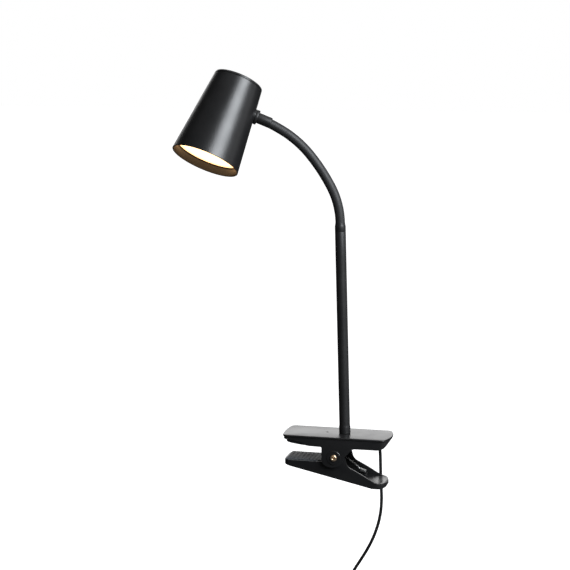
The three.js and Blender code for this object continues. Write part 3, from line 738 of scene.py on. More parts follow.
def as_mesh(piece):
    """Turns a curve into a mesh whose place is in its vertices."""
    activate(piece)
    bpy.ops.object.convert(target="MESH")
    piece = bpy.context.object
    edit_all(piece)
    return smooth(mend(piece), 40)


class READINGLAMP_OT_lead(bpy.types.Operator):
    """Adds the lead with its gland, switch, tied hank and plug"""
    bl_idname = "reading_lamp.lead"
    bl_label = "Lead, Switch and Plug"

    def execute(self, context):
        lead = sizes().lead_diameter / MM
        inverse = CLIP.inverted()
        low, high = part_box("cord_hank")
        centre = inverse @ ((low + high) / 2) / MM
        front = LEAD_DROP[-1][1]
        start, exit_y = LEAD_DROP[0][:2]
        plug_top = (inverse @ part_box("usb_plug_body")[1]).z / MM
        route = list(LEAD_DROP)
        route += [(-1.5, front, z) for z in (-188, -204, -218, -230)]
        wound = hank_points(centre, front, lead)
        route += wound
        end = wound[-1]
        route += [(end[0], end[1], end[2] - 7), (end[0], end[1], plug_top - 4)]
        cord = smooth_curve("lead", in_clip(route), lead * MM)
        hand_in(cord, "clip", "lead", "lead_rubber", "cord_drop", "cord_hank")

        gland = self.gland(start, exit_y)
        switch = self.switch(inverse)
        tie = self.tie(centre)
        plug = self.plug(end[0], end[1], plug_top)
        return {"FINISHED"}

    def gland(self, x, y):
        gland = turned("lead_gland", [
            (1.75, -6), (3.9, -6), (3.9, -7.9), (2.75, -8.1), (2.65, -9.3), (2.55, -10.2),
            (2.3, -10.7), (2.05, -10.8), (1.75, -10.7), (1.75, -6)], 48)
        place(smooth(gland), shift(x, y, 0))
        combine(gland, block("gland_flat", 20, 45, 18.2, 30, -20, 0))
        place(gland, CLIP)
        return hand_in(gland, "clip", "lead", "lead_rubber", "cord_gland")

    def switch_shape(self, top, bottom, grow=0.0):
        middle = (top + bottom) / 2
        half = 8.5 + grow
        return outline(
            (-2.6, top), (2.6, top), ("Q", 3.2, top - 7, half - 1, top - 9),
            ("Q", half + 0.4, middle, half - 1, bottom + 9), ("Q", 3.2, bottom + 7, 2.6, bottom),
            (-2.6, bottom), ("Q", -3.2, bottom + 7, -half + 1, bottom + 9),
            ("Q", -half - 0.4, middle, -half + 1, top - 9), ("Q", -3.2, top - 7, -2.6, top))

    def switch(self, inverse):
        low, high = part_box("switch_base")
        top, bottom = (inverse @ high).z / MM, (inverse @ low).z / MM
        middle = (top + bottom) / 2
        place_of_switch = CLIP @ shift(LEAD_DROP[-1][0], LEAD_DROP[-1][1], 0)
        shape = self.switch_shape(top, bottom)[:-1]
        halves = []
        for name, near, far in (("switch_base", 0.08, 5.7), ("switch_cover", -5.7, -0.08)):
            half = across(f"{name}_shell", shape, near, far)
            soften(half, 0.0011, 4, 50)
            combine(half, pin("bore", 1.75, bottom - 4, top + 4, 32))
            halves.append(half)
        base, cover = halves
        window = block("window", -4.55, 4.55, -9, -2, middle - 7.5, middle + 7.5)
        combine(cover, window)
        for height in (top - 14, bottom + 14):
            post = pin("post", 1.9, 0, 0.5, 32)
            combine(base, place(post, shift(0, 5.2, height) @ turn(-90, "X")))
        for piece in halves:
            place(smooth(piece, 30), place_of_switch)
        hand_in(base, "clip", "switch", "clip_plastic", "switch_base")
        hand_in(cover, "clip", "switch", "clip_plastic", "switch_cover")

        rocker = across("switch_rocker_cap", [
            (p[1], p[0]) for p in outline(
                (-3.4, -6.85), ("Q", -2.3, 0, -3.4, 6.85), (-1.2, 6.85), (1.6, 2.4),
                (1.6, -2.4), (-1.2, -6.85))], -4.15, 4.15)
        place(rocker, Matrix(((0, 1, 0, 0), (0, 0, 1, 0), (1, 0, 0, 0), (0, 0, 0, 1))))
        soften(rocker, 0.0004, 3, 40)
        for height in (3.2, 4.4, 5.6):
            groove = block("groove", -2.6, 2.6, -4, -2.62, height - 0.25, height + 0.25)
            combine(rocker, groove)
        place(rocker, place_of_switch @ shift(0, -3.5, middle) @ turn(7, "X"))
        hand_in(smooth(rocker, 30), "rocker", "switch", "clip_plastic", "switch_rocker")
        return [base, cover, rocker]

    def tie(self, centre):
        outer = upright("hank_tie_band", rounded_rectangle(-16, 16, -8, 8, 3), -5, 5)
        inner = upright("inner", rounded_rectangle(-15, 15, -7, 7, 2.4), -9, 9)
        combine(outer, inner)
        tab = upright("tab", rounded_rectangle(3, 15.5, -8.05, -7.3, 0.2), -4.6, 4.6)
        combine(outer, tab, "UNION")
        soften(outer, 0.0002, 2, 50)
        place(outer, CLIP @ shift(*centre))
        return hand_in(outer, "clip", "tie", "lead_rubber", "hank_tie")

    def plug(self, x, y, top):
        at = CLIP @ shift(x, y, top)
        relief = turned("plug_grip", [
            (1.7, 0), (2.2, 0), (2.5, -0.4), (2.5, -1.6), (2.1, -1.9), (2.1, -2.5), (2.6, -2.8),
            (2.6, -4.1), (2.2, -4.4), (2.2, -5), (2.8, -5.3), (2.8, -6.6), (2.4, -6.9),
            (2.4, -7.5), (3.1, -7.9), (3.1, -11), (1.7, -11), (1.7, 0)], 48)
        grip = upright("grip", rounded_rectangle(-7.6, 7.6, -3.9, 3.9, 1.6), -27, -9)
        soften(grip, 0.0007, 3, 50)
        combine(relief, grip, "UNION")
        for side in (-1, 1):
            for height in (-14, -16.2, -18.4, -20.6):
                combine(relief, block(
                    "groove", -4.8, 4.8, side * 3.6, side * 4.6, height - 0.5, height + 0.5))
        place(smooth(relief, 35), at)
        hand_in(relief, "clip", "switch", "clip_plastic", "usb_plug_body")

        shell = block("plug_sleeve", -6, 6, -2.25, 2.25, -42.2, -27.15)
        soften(shell, 0.0004, 2, 50)
        combine(shell, block("room", -5.7, 5.7, -1.95, 1.95, -60, -28.5))
        for side in (-1, 1):
            for near in (-3.6, 1.4):
                hole = block("hole", near, near + 2.2, side * 1.8, side * 2.5, -37.6, -35.2)
                combine(shell, hole)
        place(smooth(shell, 35), at)
        hand_in(shell, "clip", "nickel", "plug_steel", "usb_plug_shell")

        tongue = block("plug_tongue", -5.3, 5.3, -1.6, 0.3, -41, -29)
        soften(tongue, 0.0002, 2, 50)
        place(tongue, at)
        hand_in(tongue, "clip", "white", "terminal_white", "usb_tongue")
        return [relief, shell, tongue]


# ------------ clip

def skirt_shape():
    return outline(
        (-59.4, -1.5), (-59.1, -4.3), ("Q", -48, -5.3, -40, -6.7), (-37.6, -9.4), (-32, -10.2),
        (-20.6, -10.5), ("Q", -19.5, -10.6, -19.5, -12), (-19.5, -22.6),
        ("Q", -19, -30.4, -9, -30.8),
        ("Q", 0.6, -30.6, 3.2, -21.2), ("Q", 3.6, -20, 4.6, -18.9), (11, -12.2),
        ("Q", 12.2, -11, 14, -10.9), (36.5, -10.8), ("Q", 43.5, -10, 46, -5.2), (46.8, -1.5))


def lever_shape():
    return outline(
        (-59.8, -28.2), ("Q", -59.6, -26.3, -58, -26.3), (-20.5, -26.3),
        ("Q", -17, -25.6, -15.3, -21.5), ("A", *PIVOT, 8.2, 175, 0),
        (3.7, -21.3), (5, -26.5), ("Q", 6.2, -30, 9.6, -31.7), (20, -37), (31.5, -43.6),
        ("Q", 34.5, -45.4, 37.5, -45.6), (42.4, -46), ("Q", 44.4, -46.6, 44.4, -48.5),
        ("Q", 44.2, -51, 41, -51.1), (31, -50.9), (-31, -37.2), (-58, -31.2),
        ("Q", -59.8, -30.6, -59.8, -28.2))[:-1]


SKIRT_HALF = 20.75                     # half widths across the clip
PLATE_HALF = 21.75
UPPER_PAD_HALF = 17.9
LEVER_HALF = 17.8
CHANNEL_HALF = 15.8
STEM_HOLE_R = 4.5
PIVOT_BORE_R = 2.3
PAD_EDGE = 0.0004


def cut_pivot_bore(body):
    bore = pin("bore", PIVOT_BORE_R, -30, 30, 48)
    combine(body, place(bore, shift(PIVOT[0], 0, PIVOT[1]) @ turn(90, "X")))


def tidy_edges(piece):
    """Drops the slivers that cutting leaves, so that the edges round evenly."""
    edit_all(piece)
    bpy.ops.mesh.remove_doubles(threshold=MM * 0.03)
    bpy.ops.mesh.dissolve_degenerate(threshold=MM * 0.01)
    bpy.ops.mesh.dissolve_limited(angle_limit=math.radians(0.5))
    bpy.ops.object.mode_set(mode="OBJECT")
    return piece


class READINGLAMP_OT_upper_jaw(bpy.types.Operator):
    """Adds the upper jaw: the plate with its skirts and ears, its pad and the wiring cover"""
    bl_idname = "reading_lamp.upper_jaw"
    bl_label = "Upper Jaw"

    def execute(self, context):
        edge = sizes().mould_edge
        body = across("upper_jaw_moulding", skirt_shape(), -SKIRT_HALF, SKIRT_HALF)
        combine(body, upright("foot", rounded_rectangle(
            -58.7, 44.6, -SKIRT_HALF, SKIRT_HALF, 4.5, 6, 2.4), -40, -1.2), "INTERSECT")
        combine(body, upright("room", rounded_rectangle(
            -57.2, 42.2, -18.5, 18.5, 4, 4.6, 1.6), -50, -2.2))
        soften(tidy_edges(body), edge, 3, 40)
        plate = upright("plate", rounded_rectangle(
            -59.6, 45.5, -PLATE_HALF, PLATE_HALF, 5, 6, 2.4), -2, 0)
        soften(plate, sizes().plate_edge, 4, 50)
        combine(body, plate, "UNION")
        for side in (-1, 1):
            boss = turned("boss", [(0, 0), (7, 0), (7, 0.75), (6.75, 1), (0, 1)], 64)
            place(boss, shift(PIVOT[0], side * 20.4, PIVOT[1]) @ turn(-90 * side, "X"))
            combine(body, boss, "UNION")
        combine(body, block("wall", -20.4, -18.9, -18.8, 18.8, -7.4, -1.8), "UNION")
        combine(body, block("bay_wall", 8.4, 9.8, -18.8, 18.8, -8.1, -1.8), "UNION")
        rib = outline(
            (-57.6, -1.8), (-57.6, -2.7), ("Q", -46, -5.9, -35, -6.4), (-20, -7.4), (-20, -1.8))
        for y in (-17, -8.5, 0, 8.5, 17):
            combine(body, across("rib", rib, y - 0.9, y + 0.9), "UNION")
        cut_pivot_bore(body)
        combine(body, pin("hole", STEM_HOLE_R, -12, 5, 64))
        bpy.ops.mesh.primitive_uv_sphere_add(
            radius=1.6 * MM, segments=48, ring_count=24, location=Vector((-18, 0, 0.75)) * MM)
        combine(body, context.object)
        place(smooth(body, 30), CLIP)
        hand_in(body, "clip", "clip", "clip_plastic", "upper_jaw")
        self.pad()
        self.cover()
        return {"FINISHED"}

    def pad(self):
        pad = across("upper_pad", outline(
            (-56.7, -3.9), ("Q", -46, -7, -35, -7.3), (-20.8, -8.2), (-20.8, -10.6),
            (-34, -10.6), ("Q", -46, -9.8, -56.7, -7.5)), -UPPER_PAD_HALF, UPPER_PAD_HALF)
        combine(pad, upright("foot", rounded_rectangle(
            -56.6, -20.9, -UPPER_PAD_HALF, UPPER_PAD_HALF, 4.5, 0.4), -15, 0), "INTERSECT")
        soften(tidy_edges(pad), PAD_EDGE, 3, 40)
        place(pad, CLIP)
        hand_in(pad, "clip", "pad", "pad_rubber", "upper_jaw_pad")

    def cover(self):
        cover = upright("bay_cover", rounded_rectangle(
            10.2, 40.9, -17.9, 17.9, 4, 2.8, 0), -9.6, -8.2)
        soften(cover, 0.0004, 3, 50)
        for x, y, radius in ((17, -12, 1.4), (38, -8, 1.4), (32.6, 15.2, 3)):
            combine(cover, place(pin("hole", radius, -20, 0, 48), shift(x, y, 0)))
        place(smooth(cover, 30), CLIP)
        hand_in(cover, "clip", "switch", "clip_plastic", "wiring_cover")


class READINGLAMP_OT_lever(bpy.types.Operator):
    """Adds the lever with the lower jaw and its pad"""
    bl_idname = "reading_lamp.lever"
    bl_label = "Lever"

    def execute(self, context):
        body = across("lever_moulding", lever_shape(), -LEVER_HALF, LEVER_HALF)
        combine(body, upright("foot", rounded_rectangle(
            -58.8, 41.9, -LEVER_HALF, LEVER_HALF, 6.5, 5, 2), -60, 0), "INTERSECT")
        channel = across("channel", [
            (-18.4, -5), (-18.4, -38), (18, -45.8), (18.7, -44.9), (43, -46.2), (43, -5)],
            -CHANNEL_HALF, CHANNEL_HALF)
        combine(channel, upright("reach", rounded_rectangle(
            -18.4, 39.8, -CHANNEL_HALF, CHANNEL_HALF, 5, 4.4, 0), -60, 0), "INTERSECT")
        combine(body, channel)
        combine(body, block("pad_seat", -57.6, -20.2, -15.9, 15.9, -27.9, -20))
        soften(tidy_edges(body), sizes().mould_edge, 3, 40)
        seat = block("seat", 14.2, 22, -2, 9, -46, -41.4)
        combine(seat, block("slot", 10, 30, 1.9, 6.1, -42.6, -30))
        combine(body, seat, "UNION")
        pocket = [(-49, -45), (-49, -29.6), (-21, -29.6), (-21, -45)]
        for low, high in ((-CHANNEL_HALF, -1), (1, CHANNEL_HALF)):
            combine(body, across("pocket", pocket, low, high))
        cut_pivot_bore(body)
        place(smooth(body, 30), CLIP)
        hand_in(body, "lever", "clip", "clip_plastic", "lower_jaw")

        pad = block("lower_pad", -57.3, -20.5, -15.6, 15.6, -27.6, -25.6)
        soften(pad, PAD_EDGE, 3, 50)
        for x in range(-54, -22, 4):
            combine(pad, block("groove", x, x + 1, -20, 20, -26, -20))
        place(smooth(pad, 30), CLIP)
        hand_in(pad, "lever", "pad", "pad_rubber", "lower_jaw_pad")
        return {"FINISHED"}


SPRING_WIRE = 1.8


class READINGLAMP_OT_pivot(bpy.types.Operator):
    """Adds the pivot screw, its nut and the clip spring"""
    bl_idname = "reading_lamp.pivot"
    bl_label = "Pivot and Spring"

    def execute(self, context):
        at = shift(PIVOT[0], 0, PIVOT[1])
        screw = turned("pivot_screw_turned", [
            (0, -22.3), (0.95, -22.35), (1.35, -22.95), (1.65, -23.15), (2.2, -23.05),
            (2.75, -22.75), (3.15, -22.3), (3.32, -21.95),
            (3.32, -21.72), (2, -21.7), (2, 24), (1.7, 24.4), (0, 24.4)], 64)
        smooth(screw, 35)
        for degrees in (0, 90):
            slot = block("slot", -1.2, 1.2, -0.35, 0.35, -26, -21.9)
            combine(screw, place(slot, turn(degrees + 20, "Z")))
        place(smooth(screw, 35), CLIP @ at @ turn(-90, "X"))
        hand_in(screw, "clip", "brass", "rivet_brass", "pivot_screw")

        hexagon = [(3.69 * math.cos(math.radians(a)), 3.69 * math.sin(math.radians(a)))
                   for a in range(0, 360, 60)]
        nut = upright("pivot_nut_hexagon", hexagon, 21.7, 23.7)
        dish = turned("dish", [(0, 21), (3.5, 21.6), (3.55, 23), (3.2, 23.8), (0, 23.8)], 48)
        combine(nut, dish, "INTERSECT")
        combine(nut, pin("bore", 2.15, 18, 26, 48))
        place(smooth(nut, 30), CLIP @ at @ turn(-90, "X"))
        hand_in(nut, "clip", "brass", "rivet_brass", "pivot_nut")
        self.spring()
        return {"FINISHED"}

    def spring(self):
        radius, pitch, turns, steps = 4.6, 2.1, 6, 14
        start, rise = math.radians(60), 0.375
        points = []
        for leg in (15, 11, 7, 3.5):
            points.append((
                PIVOT[0] + radius * math.cos(start) + leg * math.sin(start),
                -turns * pitch / 2,
                PIVOT[1] + radius * math.sin(start) + leg * rise))
        for i in range(turns * steps + 8):
            angle = start + 2 * math.pi * i / steps
            points.append((
                PIVOT[0] + radius * math.cos(angle),
                (i / steps - turns / 2) * pitch,
                PIVOT[1] + radius * math.sin(angle)))
        points += [
            (-3.6, 7.6, -25.3), (-1.2, 7.5, -26), (1.6, 7, -27.6), (6.2, 6, -30.6),
            (10.8, 4.9, -33.5), (13.6, 4.1, -35.6), (15.8, 4, -37.2), (19.3, 4, -38.3)]
        wire = as_mesh(smooth_curve(
            "clip_spring_wire", in_clip(points), SPRING_WIRE * MM, 4))
        shoe = upright("shoe", rounded_rectangle(-3.2, 3.2, -1.6, 1.6, 0.6), -1.25, 1.25)
        soften(shoe, 0.0004, 2, 50)
        place(shoe, CLIP @ shift(18, 4, -38.2) @ turn(19, "Y"))
        combine(wire, shoe, "UNION")
        smooth(wire, 40)
        hand_in(wire, None, "spring", "zinc_steel",
                "clip_spring", "clip_spring_lower_leg")
        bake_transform(wire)


# ------------ stem and gooseneck

class READINGLAMP_OT_stem(bpy.types.Operator):
    """Adds the rigid stem and the turning foot on its top"""
    bl_idname = "reading_lamp.stem"
    bl_label = "Stem"

    def execute(self, context):
        stem = turned("stem", [
            (2.4, -9.2), (4, -9.2), (4, 0.25), (5.45, 0.25), (5.66, 0.4), (5.7, 0.7),
            (5.7, 6.6), (5.66, 7.1), (5.5, 7.8), (5.38, 8.6), (5.35, 9.4), (5.35, 60),
            (5.35, 120), (5.35, 180), (5.35, 202.8), (5.28, 203), (3.3, 203.02), (3.3, 208),
            (2.4, 208), (2.4, -9.2)])
        place(smooth(stem, 30), STEM)
        hand_in(stem, "clip", "stem", "stem_black", "stem_tube")

        foot = turned("stem_foot", [
            (3.6, 203.1), (5.28, 203.1), (5.35, 203.25), (5.35, 207.6), (5.31, 208.4),
            (5.2, 209.1), (5.03, 209.8), (4.9, 210.4), (4.83, 211), (4.8, 211.8), (4.75, 212),
            (3.6, 212), (3.6, 203.1)])
        place(smooth(foot, 30), STEM)
        hand_in(foot, "neck_turner", "stem", "sleeve_black", "neck_foot")
        return {"FINISHED"}


NECK_R = 4.7
SLEEVE_WALL = 1.1
SLEEVE_FOOT = 1.8                      # sleeve below the first joint
SLEEVE_END = 13.9                      # sleeve beyond the last joint
SLEEVE_STEPS = 28


class READINGLAMP_OT_gooseneck(bpy.types.Operator):
    """Adds the gooseneck's sleeve, in curved lengths that each span one joint"""
    bl_idname = "reading_lamp.gooseneck"
    bl_label = "Gooseneck"

    def execute(self, context):
        start = 0
        for index in range(len(NECK_LINKS)):
            self.sleeve(index, start)
            start += NECK_LINKS[index][0]
        return {"FINISHED"}

    def sleeve(self, index, start):
        """A length of sleeve from the middle of one link to the middle of the next."""
        ahead = NECK_LINKS[index]
        behind = NECK_LINKS[index - 1] if index else None
        last = index == len(NECK_LINKS) - 1
        reach = SLEEVE_END if last else ahead[0] / 2
        back = behind[0] / 2 if behind else SLEEVE_FOOT
        deselect_all()
        bpy.ops.mesh.primitive_circle_add(vertices=48, radius=NECK_R * MM, fill_type="NOTHING")
        piece = bpy.context.object
        piece.name = piece.data.name = f"neck_sleeve_length_{index + 1}"
        bpy.ops.object.mode_set(mode="EDIT")
        bpy.ops.mesh.select_all(action="SELECT")
        radius = ahead[0] / math.radians(ahead[1])
        bpy.ops.mesh.spin(
            steps=SLEEVE_STEPS, angle=reach / radius, center=(-radius * MM, 0, 0), axis=(0, 1, 0))
        self.select_ring(piece)
        if behind:
            radius_back = behind[0] / math.radians(behind[1])
            bpy.ops.mesh.spin(
                steps=SLEEVE_STEPS, angle=back / radius_back,
                center=(-radius_back * MM, 0, 0), axis=(0, -1, 0))
        else:
            radius_back = None
            bpy.ops.mesh.extrude_region_move(
                TRANSFORM_OT_translate={"value": (0, 0, -back * MM)})
        mend(piece)
        apply_modifier(piece, "SOLIDIFY", thickness=SLEEVE_WALL * MM, offset=-1)
        edit_all(piece)
        smooth(mend(piece), 40)
        along = piece.data.attributes.new("length_along", "FLOAT", "POINT")
        for vertex, value in zip(piece.data.vertices, along.data):
            x, z = vertex.co.x / MM, vertex.co.z / MM
            bend = radius if z >= 0 else radius_back
            s = z if bend is None else math.atan2(z, x + bend) * bend
            value.value = (start + s) * MM
        place(piece, LINK[index])
        hand_in(piece, None, "sleeve", "sleeve_black", f"neck_sleeve_{index + 1}")
        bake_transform(piece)

    def select_ring(self, piece):
        """Selects the ring that lies on the joint."""
        bpy.ops.mesh.select_mode(type="VERT")
        bpy.ops.mesh.select_all(action="DESELECT")
        bpy.ops.object.mode_set(mode="OBJECT")
        for vertex in piece.data.vertices:
            vertex.select = abs(vertex.co.z) < MM * 0.001
        bpy.ops.object.mode_set(mode="EDIT")


class READINGLAMP_OT_swivel(bpy.types.Operator):
    """Adds the gooseneck's end ferrule and the collar against the shade"""
    bl_idname = "reading_lamp.swivel"
    bl_label = "Ferrule and Collar"

    def execute(self, context):
        ferrule = turned("neck_end_ferrule", [
            (4.75, -14.5), (5.05, -14.45), (5.25, -14.2), (5.3, -13.8), (5.3, -1.4), (5.2, -1.1),
            (3.9, -1.1), (3.9, -13.4), (4.75, -13.5), (4.75, -14.5)])
        place(smooth(ferrule, 30), NECK_END)
        hand_in(ferrule, "neck_link_4", "stem", "stem_black", "neck_ferrule")
        collar = turned("shade_collar", [
            (3.9, -1), (6.6, -1), (6.95, -0.9), (7.2, -0.65), (7.3, -0.3), (7.3, 1.3),
            (7.22, 1.55), (7, 1.7), (3.9, 1.7), (3.9, -1)])
        place(smooth(collar, 30), NECK_END)
        hand_in(collar, "neck_link_4", "stem", "shade_black", "neck_collar")
        return {"FINISHED"}


# ------------ head

SHADE_TOP = 27
SHADE_MOUTH = -60.5
SHADE_TOP_R = 24.55
SHADE_MOUTH_R = 34
CONE_TOP = 24.3                        # the cone's upper edge, under the cap
BOSS_R = 7.2
BOSS_ROOT = 15
BOSS_FACE = 28.38
BOLT_HOLE_R = 4.2
DIFFUSER_R = 31.4
DIFFUSER_Z = -51.6


def shade_radius(z):
    share = (SHADE_TOP - z) / (SHADE_TOP - SHADE_MOUTH)
    return SHADE_TOP_R + (SHADE_MOUTH_R - SHADE_TOP_R) * share


class READINGLAMP_OT_shade(bpy.types.Operator):
    """Adds the conical shade and its top cap"""
    bl_idname = "reading_lamp.shade"
    bl_label = "Shade and Cap"

    def execute(self, context):
        wall = sizes().shade_wall / MM
        top, mouth = CONE_TOP, SHADE_MOUTH
        shade = turned("shade_cone", [
            (shade_radius(mouth) - wall, mouth + 0.25), (shade_radius(mouth) - wall * 0.75, mouth),
            (shade_radius(mouth) - 0.25, mouth), (shade_radius(mouth), mouth + 0.3),
            (shade_radius(-30), -30), (shade_radius(0), 0), (shade_radius(top), top - 0.15),
            (shade_radius(top) - 0.15, top), (shade_radius(top) - wall, top),
            (shade_radius(0) - wall, 0), (shade_radius(-30) - wall, -30),
            (shade_radius(mouth) - wall, mouth + 0.25)], 144)
        boss = turned("boss", [
            (0, BOSS_ROOT), (BOSS_R, BOSS_ROOT), (BOSS_R, 28.15), (7.1, 28.3),
            (6.85, BOSS_FACE), (0, BOSS_FACE)], 96)
        room = turned("room", [
            (0, mouth), (shade_radius(mouth) - wall, mouth), (shade_radius(top) - wall, top),
            (0, top)], 144)
        combine(place(boss, turn(90, "Y")), room)
        combine(shade, boss, "UNION")
        hole = pin("hole", BOLT_HOLE_R, BOSS_ROOT, 40, 48)
        combine(shade, place(hole, turn(90, "Y")))
        place(smooth(shade, 30), HEAD)
        hand_in(shade, "head", "shade", "shade_black", "lamp_shade")

        rim = shade_radius(24.7)
        cap = turned("shade_top_cap", [
            (0, 27), (12, 26.99), (20, 26.97), (23.7, 26.94), (24.2, 26.85), (24.45, 26.66),
            (24.56, 26.35), (rim, 24.85), (rim - 0.15, 24.68), (22.6, 24.6), (22.6, 19.05),
            (21.3, 19), (21.3, 25.3), (0, 25.4)], 144)
        place(smooth(cap, 30), HEAD)
        hand_in(cap, "head", "shade", "shade_black", "shade_cap")
        return {"FINISHED"}


class READINGLAMP_OT_light(bpy.types.Operator):
    """Adds the lit diffuser and the thin ring that holds it"""
    bl_idname = "reading_lamp.light"
    bl_label = "Diffuser"

    def execute(self, context):
        diffuser = turned("lit_diffuser", [
            (0, DIFFUSER_Z), (10, -51.63), (20, -51.73), (27, -51.85), (30.9, -52),
            (31.25, -51.85), (DIFFUSER_R, -51.4), (DIFFUSER_R, -50.4), (0, -50.4)], 128)
        share = diffuser.data.attributes.new("rim_share", "FLOAT", "POINT")
        for vertex, value in zip(diffuser.data.vertices, share.data):
            value.value = math.hypot(vertex.co.x, vertex.co.y) / (DIFFUSER_R * MM)
        place(smooth(diffuser, 40), HEAD)
        hand_in(diffuser, "head", "diffuser", "diffuser_lit", "diffuser")
        ring = turned("diffuser_retainer", [
            (31.45, DIFFUSER_Z), (31.85, DIFFUSER_Z), (31.92, -52.9), (31.85, -53.1),
            (31.7, -53.05), (31.5, -52.5), (31.45, DIFFUSER_Z)], 128)
        place(smooth(ring, 30), HEAD)
        hand_in(ring, "head", "shade", "shade_black", "diffuser_ring")
        return {"FINISHED"}


INNER_FINISH = {
    "steel": ("cover_screw_1", "cover_screw_2", "pivot_sleeve", "stem_washer", "stem_nut",
              "neck_core_1", "neck_core_2", "neck_core_3", "neck_core_4", "swivel_bolt",
              "swivel_washer", "swivel_nut", "board_screw_1", "board_screw_2"),
    "lead": ("cord_inner", "stem_leads", "neck_leads_1", "neck_leads_2", "neck_leads_3",
             "neck_leads_4", "head_lead_2"),
    "white": ("lead_terminal", "reflector"),
    "aluminium": ("heat_sink",),
    "thermal": ("thermal_pad",),
    "board": ("led_board",),
    "phosphor": ("led_emitter",),
    "red": ("head_lead_1",),
}


class READINGLAMP_OT_inner_parts(bpy.types.Operator):
    """Gives the parts inside the clip, the neck and the shade their finishes"""
    bl_idname = "reading_lamp.inner_parts"
    bl_label = "Inner Parts"

    def execute(self, context):
        for look, names in INNER_FINISH.items():
            for name in names:
                dress(frame["nodes"][name], look)
        return {"FINISHED"}


# ------------ stage

FLOOR_SIZE = 24
FLOOR_BELOW = 0.012
FLOOR_GLOW = 1.0
FLOOR_DIM = 0.12                       # the floor's tone in everything but the camera's view
ROOM_GLOW = 0.025                      # the dim room, and its bright far wall, in the gloss
WALL_GLOW = 2.4
WALL_WAY = (-0.24, 0.97, 0.0)
WALL_FACING = (0.78, 0.96)
WALL_HEIGHT = (0.04, 0.16)
LIGHTS = (                             # name, place, aim, size, power and colour
    ("key", (1.02, -0.68, 0.95), (0, 0, 0.25), (0.9, 0.9), 42.0, (0.92, 0.96, 1)),
    ("right", (1.1, 0.35, 0.3), (0, 0, 0.15), (0.35, 1.2), 1.2, (1, 1, 1)),
    ("left", (-1.2, -0.5, 0.45), (0, 0, 0.2), (0.5, 0.9), 0.3, (1, 1, 1)),
    ("top", (-0.1, 0.1, 1.5), (0, 0, 0.2), (1.1, 1.1), 3.0, (1, 1, 1)),
)


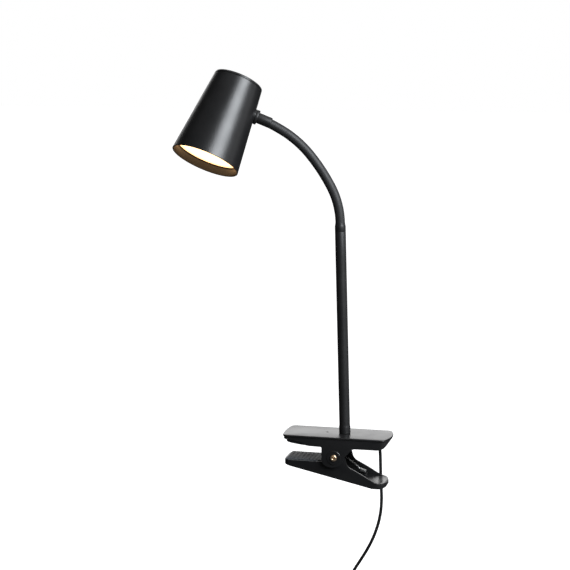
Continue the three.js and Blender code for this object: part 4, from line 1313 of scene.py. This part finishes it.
class READINGLAMP_OT_stage(bpy.types.Operator):
    """Adds the pale floor, the soft lights and the surroundings"""
    bl_idname = "reading_lamp.stage"
    bl_label = "Stage"

    def execute(self, context):
        self.floor()
        self.surroundings(context)
        for name, place_at, aim, size, power, color in LIGHTS:
            self.lamp(name, Vector(place_at), Vector(aim), size, power, color)
        context.scene.view_settings.view_transform = "Standard"
        context.scene.view_settings.look = "None"
        return {"FINISHED"}

    def floor(self):
        deselect_all()
        height = CAD_BOX[0][2] - FLOOR_BELOW
        bpy.ops.mesh.primitive_plane_add(size=FLOOR_SIZE, location=(0, 0, height))
        floor = bpy.context.object
        floor.name = "floor"
        bpy.ops.object.transform_apply(location=True, rotation=True, scale=True)
        pale, tree, shader = material_tree("pale floor")
        tone = remap(tree, noise(tree, object_vector(tree), 1.5, 2), 0.3, 0.7, 0.9, 0.93)
        seen = tree.nodes.new("ShaderNodeLightPath").outputs["Is Camera Ray"]
        level = remap(tree, seen, 0, 1, FLOOR_DIM, tone)
        mix = tree.nodes.new("ShaderNodeCombineColor")
        for label in ("Red", "Green", "Blue"):
            tree.links.new(level, mix.inputs[label])
        tree.links.new(mix.outputs["Color"], shader.inputs["Base Color"])
        glow = math_node(tree, "MULTIPLY", seen, FLOOR_GLOW)
        tree.links.new(glow, shader.inputs["Emission Strength"])
        set_inputs(shader, {
            "Emission Color": (1, 1, 1, 1), "Roughness": 0.9, "Specular IOR Level": 0.1})
        floor.data.materials.append(pale)

    def lamp(self, name, place_at, aim, size, power, color):
        turned_to = (aim - place_at).to_track_quat("-Z", "Y").to_euler()
        bpy.ops.object.light_add(type="AREA", location=place_at, rotation=turned_to)
        lamp = bpy.context.object
        lamp.name = f"{name}_light"
        lamp.data.shape = "RECTANGLE"
        lamp.data.size, lamp.data.size_y = size
        lamp.data.energy = power
        lamp.data.color = color

    def surroundings(self, context):
        """Adds a world that is plain white to look at, while the gloss mirrors a dim room."""
        world = bpy.data.worlds.new("studio")
        world.use_nodes = True
        context.scene.world = world
        tree = world.node_tree
        background = tree.nodes["Background"]
        direction = tree.nodes.new("ShaderNodeTexCoord").outputs["Generated"]
        ahead = tree.nodes.new("ShaderNodeVectorMath")
        ahead.operation = "DOT_PRODUCT"
        ahead.inputs[1].default_value = WALL_WAY
        tree.links.new(direction, ahead.inputs[0])
        apart = tree.nodes.new("ShaderNodeSeparateXYZ")
        tree.links.new(direction, apart.inputs[0])
        facing = remap(tree, ahead.outputs["Value"], *WALL_FACING, 0, 1)
        height = remap(tree, apart.outputs["Z"], *WALL_HEIGHT, 0, 1)
        wall = math_node(tree, "MULTIPLY", facing, height)
        glow = remap(tree, wall, 0, 1, ROOM_GLOW, WALL_GLOW)
        seen = tree.nodes.new("ShaderNodeLightPath").outputs["Is Camera Ray"]
        strength = math_node(tree, "MAXIMUM", seen, glow)
        tree.links.new(strength, background.inputs["Strength"])
        background.inputs["Color"].default_value = (1, 1, 1, 1)


# ------------ panel and run

STEPS = (
    "camera", "lead", "upper_jaw", "lever", "pivot", "stem", "gooseneck", "swivel", "shade",
    "light", "inner_parts", "stage",
)


class READINGLAMP_PT_panel(bpy.types.Panel):
    """The lamp's sizes, colours and pieces"""
    bl_idname = "READINGLAMP_PT_panel"
    bl_label = "Clip-on Reading Lamp"
    bl_space_type = "VIEW_3D"
    bl_region_type = "UI"
    bl_category = "Reading Lamp"

    def draw(self, context):
        layout = self.layout
        for group in (context.scene.reading_lamp_sizes, context.scene.reading_lamp_finish):
            for name in group.__annotations__:
                layout.prop(group, name)
        for step in STEPS:
            layout.operator(f"reading_lamp.{step}")


CLASSES = (
    ReadingLampSizes, ReadingLampFinish, READINGLAMP_OT_camera, READINGLAMP_OT_lead,
    READINGLAMP_OT_upper_jaw, READINGLAMP_OT_lever, READINGLAMP_OT_pivot, READINGLAMP_OT_stem,
    READINGLAMP_OT_gooseneck, READINGLAMP_OT_swivel, READINGLAMP_OT_shade,
    READINGLAMP_OT_light, READINGLAMP_OT_inner_parts, READINGLAMP_OT_stage,
    READINGLAMP_PT_panel,
)


def register():
    for item in CLASSES:
        bpy.utils.register_class(item)
    bpy.types.Scene.reading_lamp_sizes = PointerProperty(type=ReadingLampSizes)
    bpy.types.Scene.reading_lamp_finish = PointerProperty(type=ReadingLampFinish)


def unregister():
    del bpy.types.Scene.reading_lamp_sizes
    del bpy.types.Scene.reading_lamp_finish
    for item in reversed(CLASSES):
        bpy.utils.unregister_class(item)


def main():
    register()
    for step in STEPS:
        getattr(bpy.ops.reading_lamp, step)()
    deselect_all()


if __name__ == "__main__":
    main()
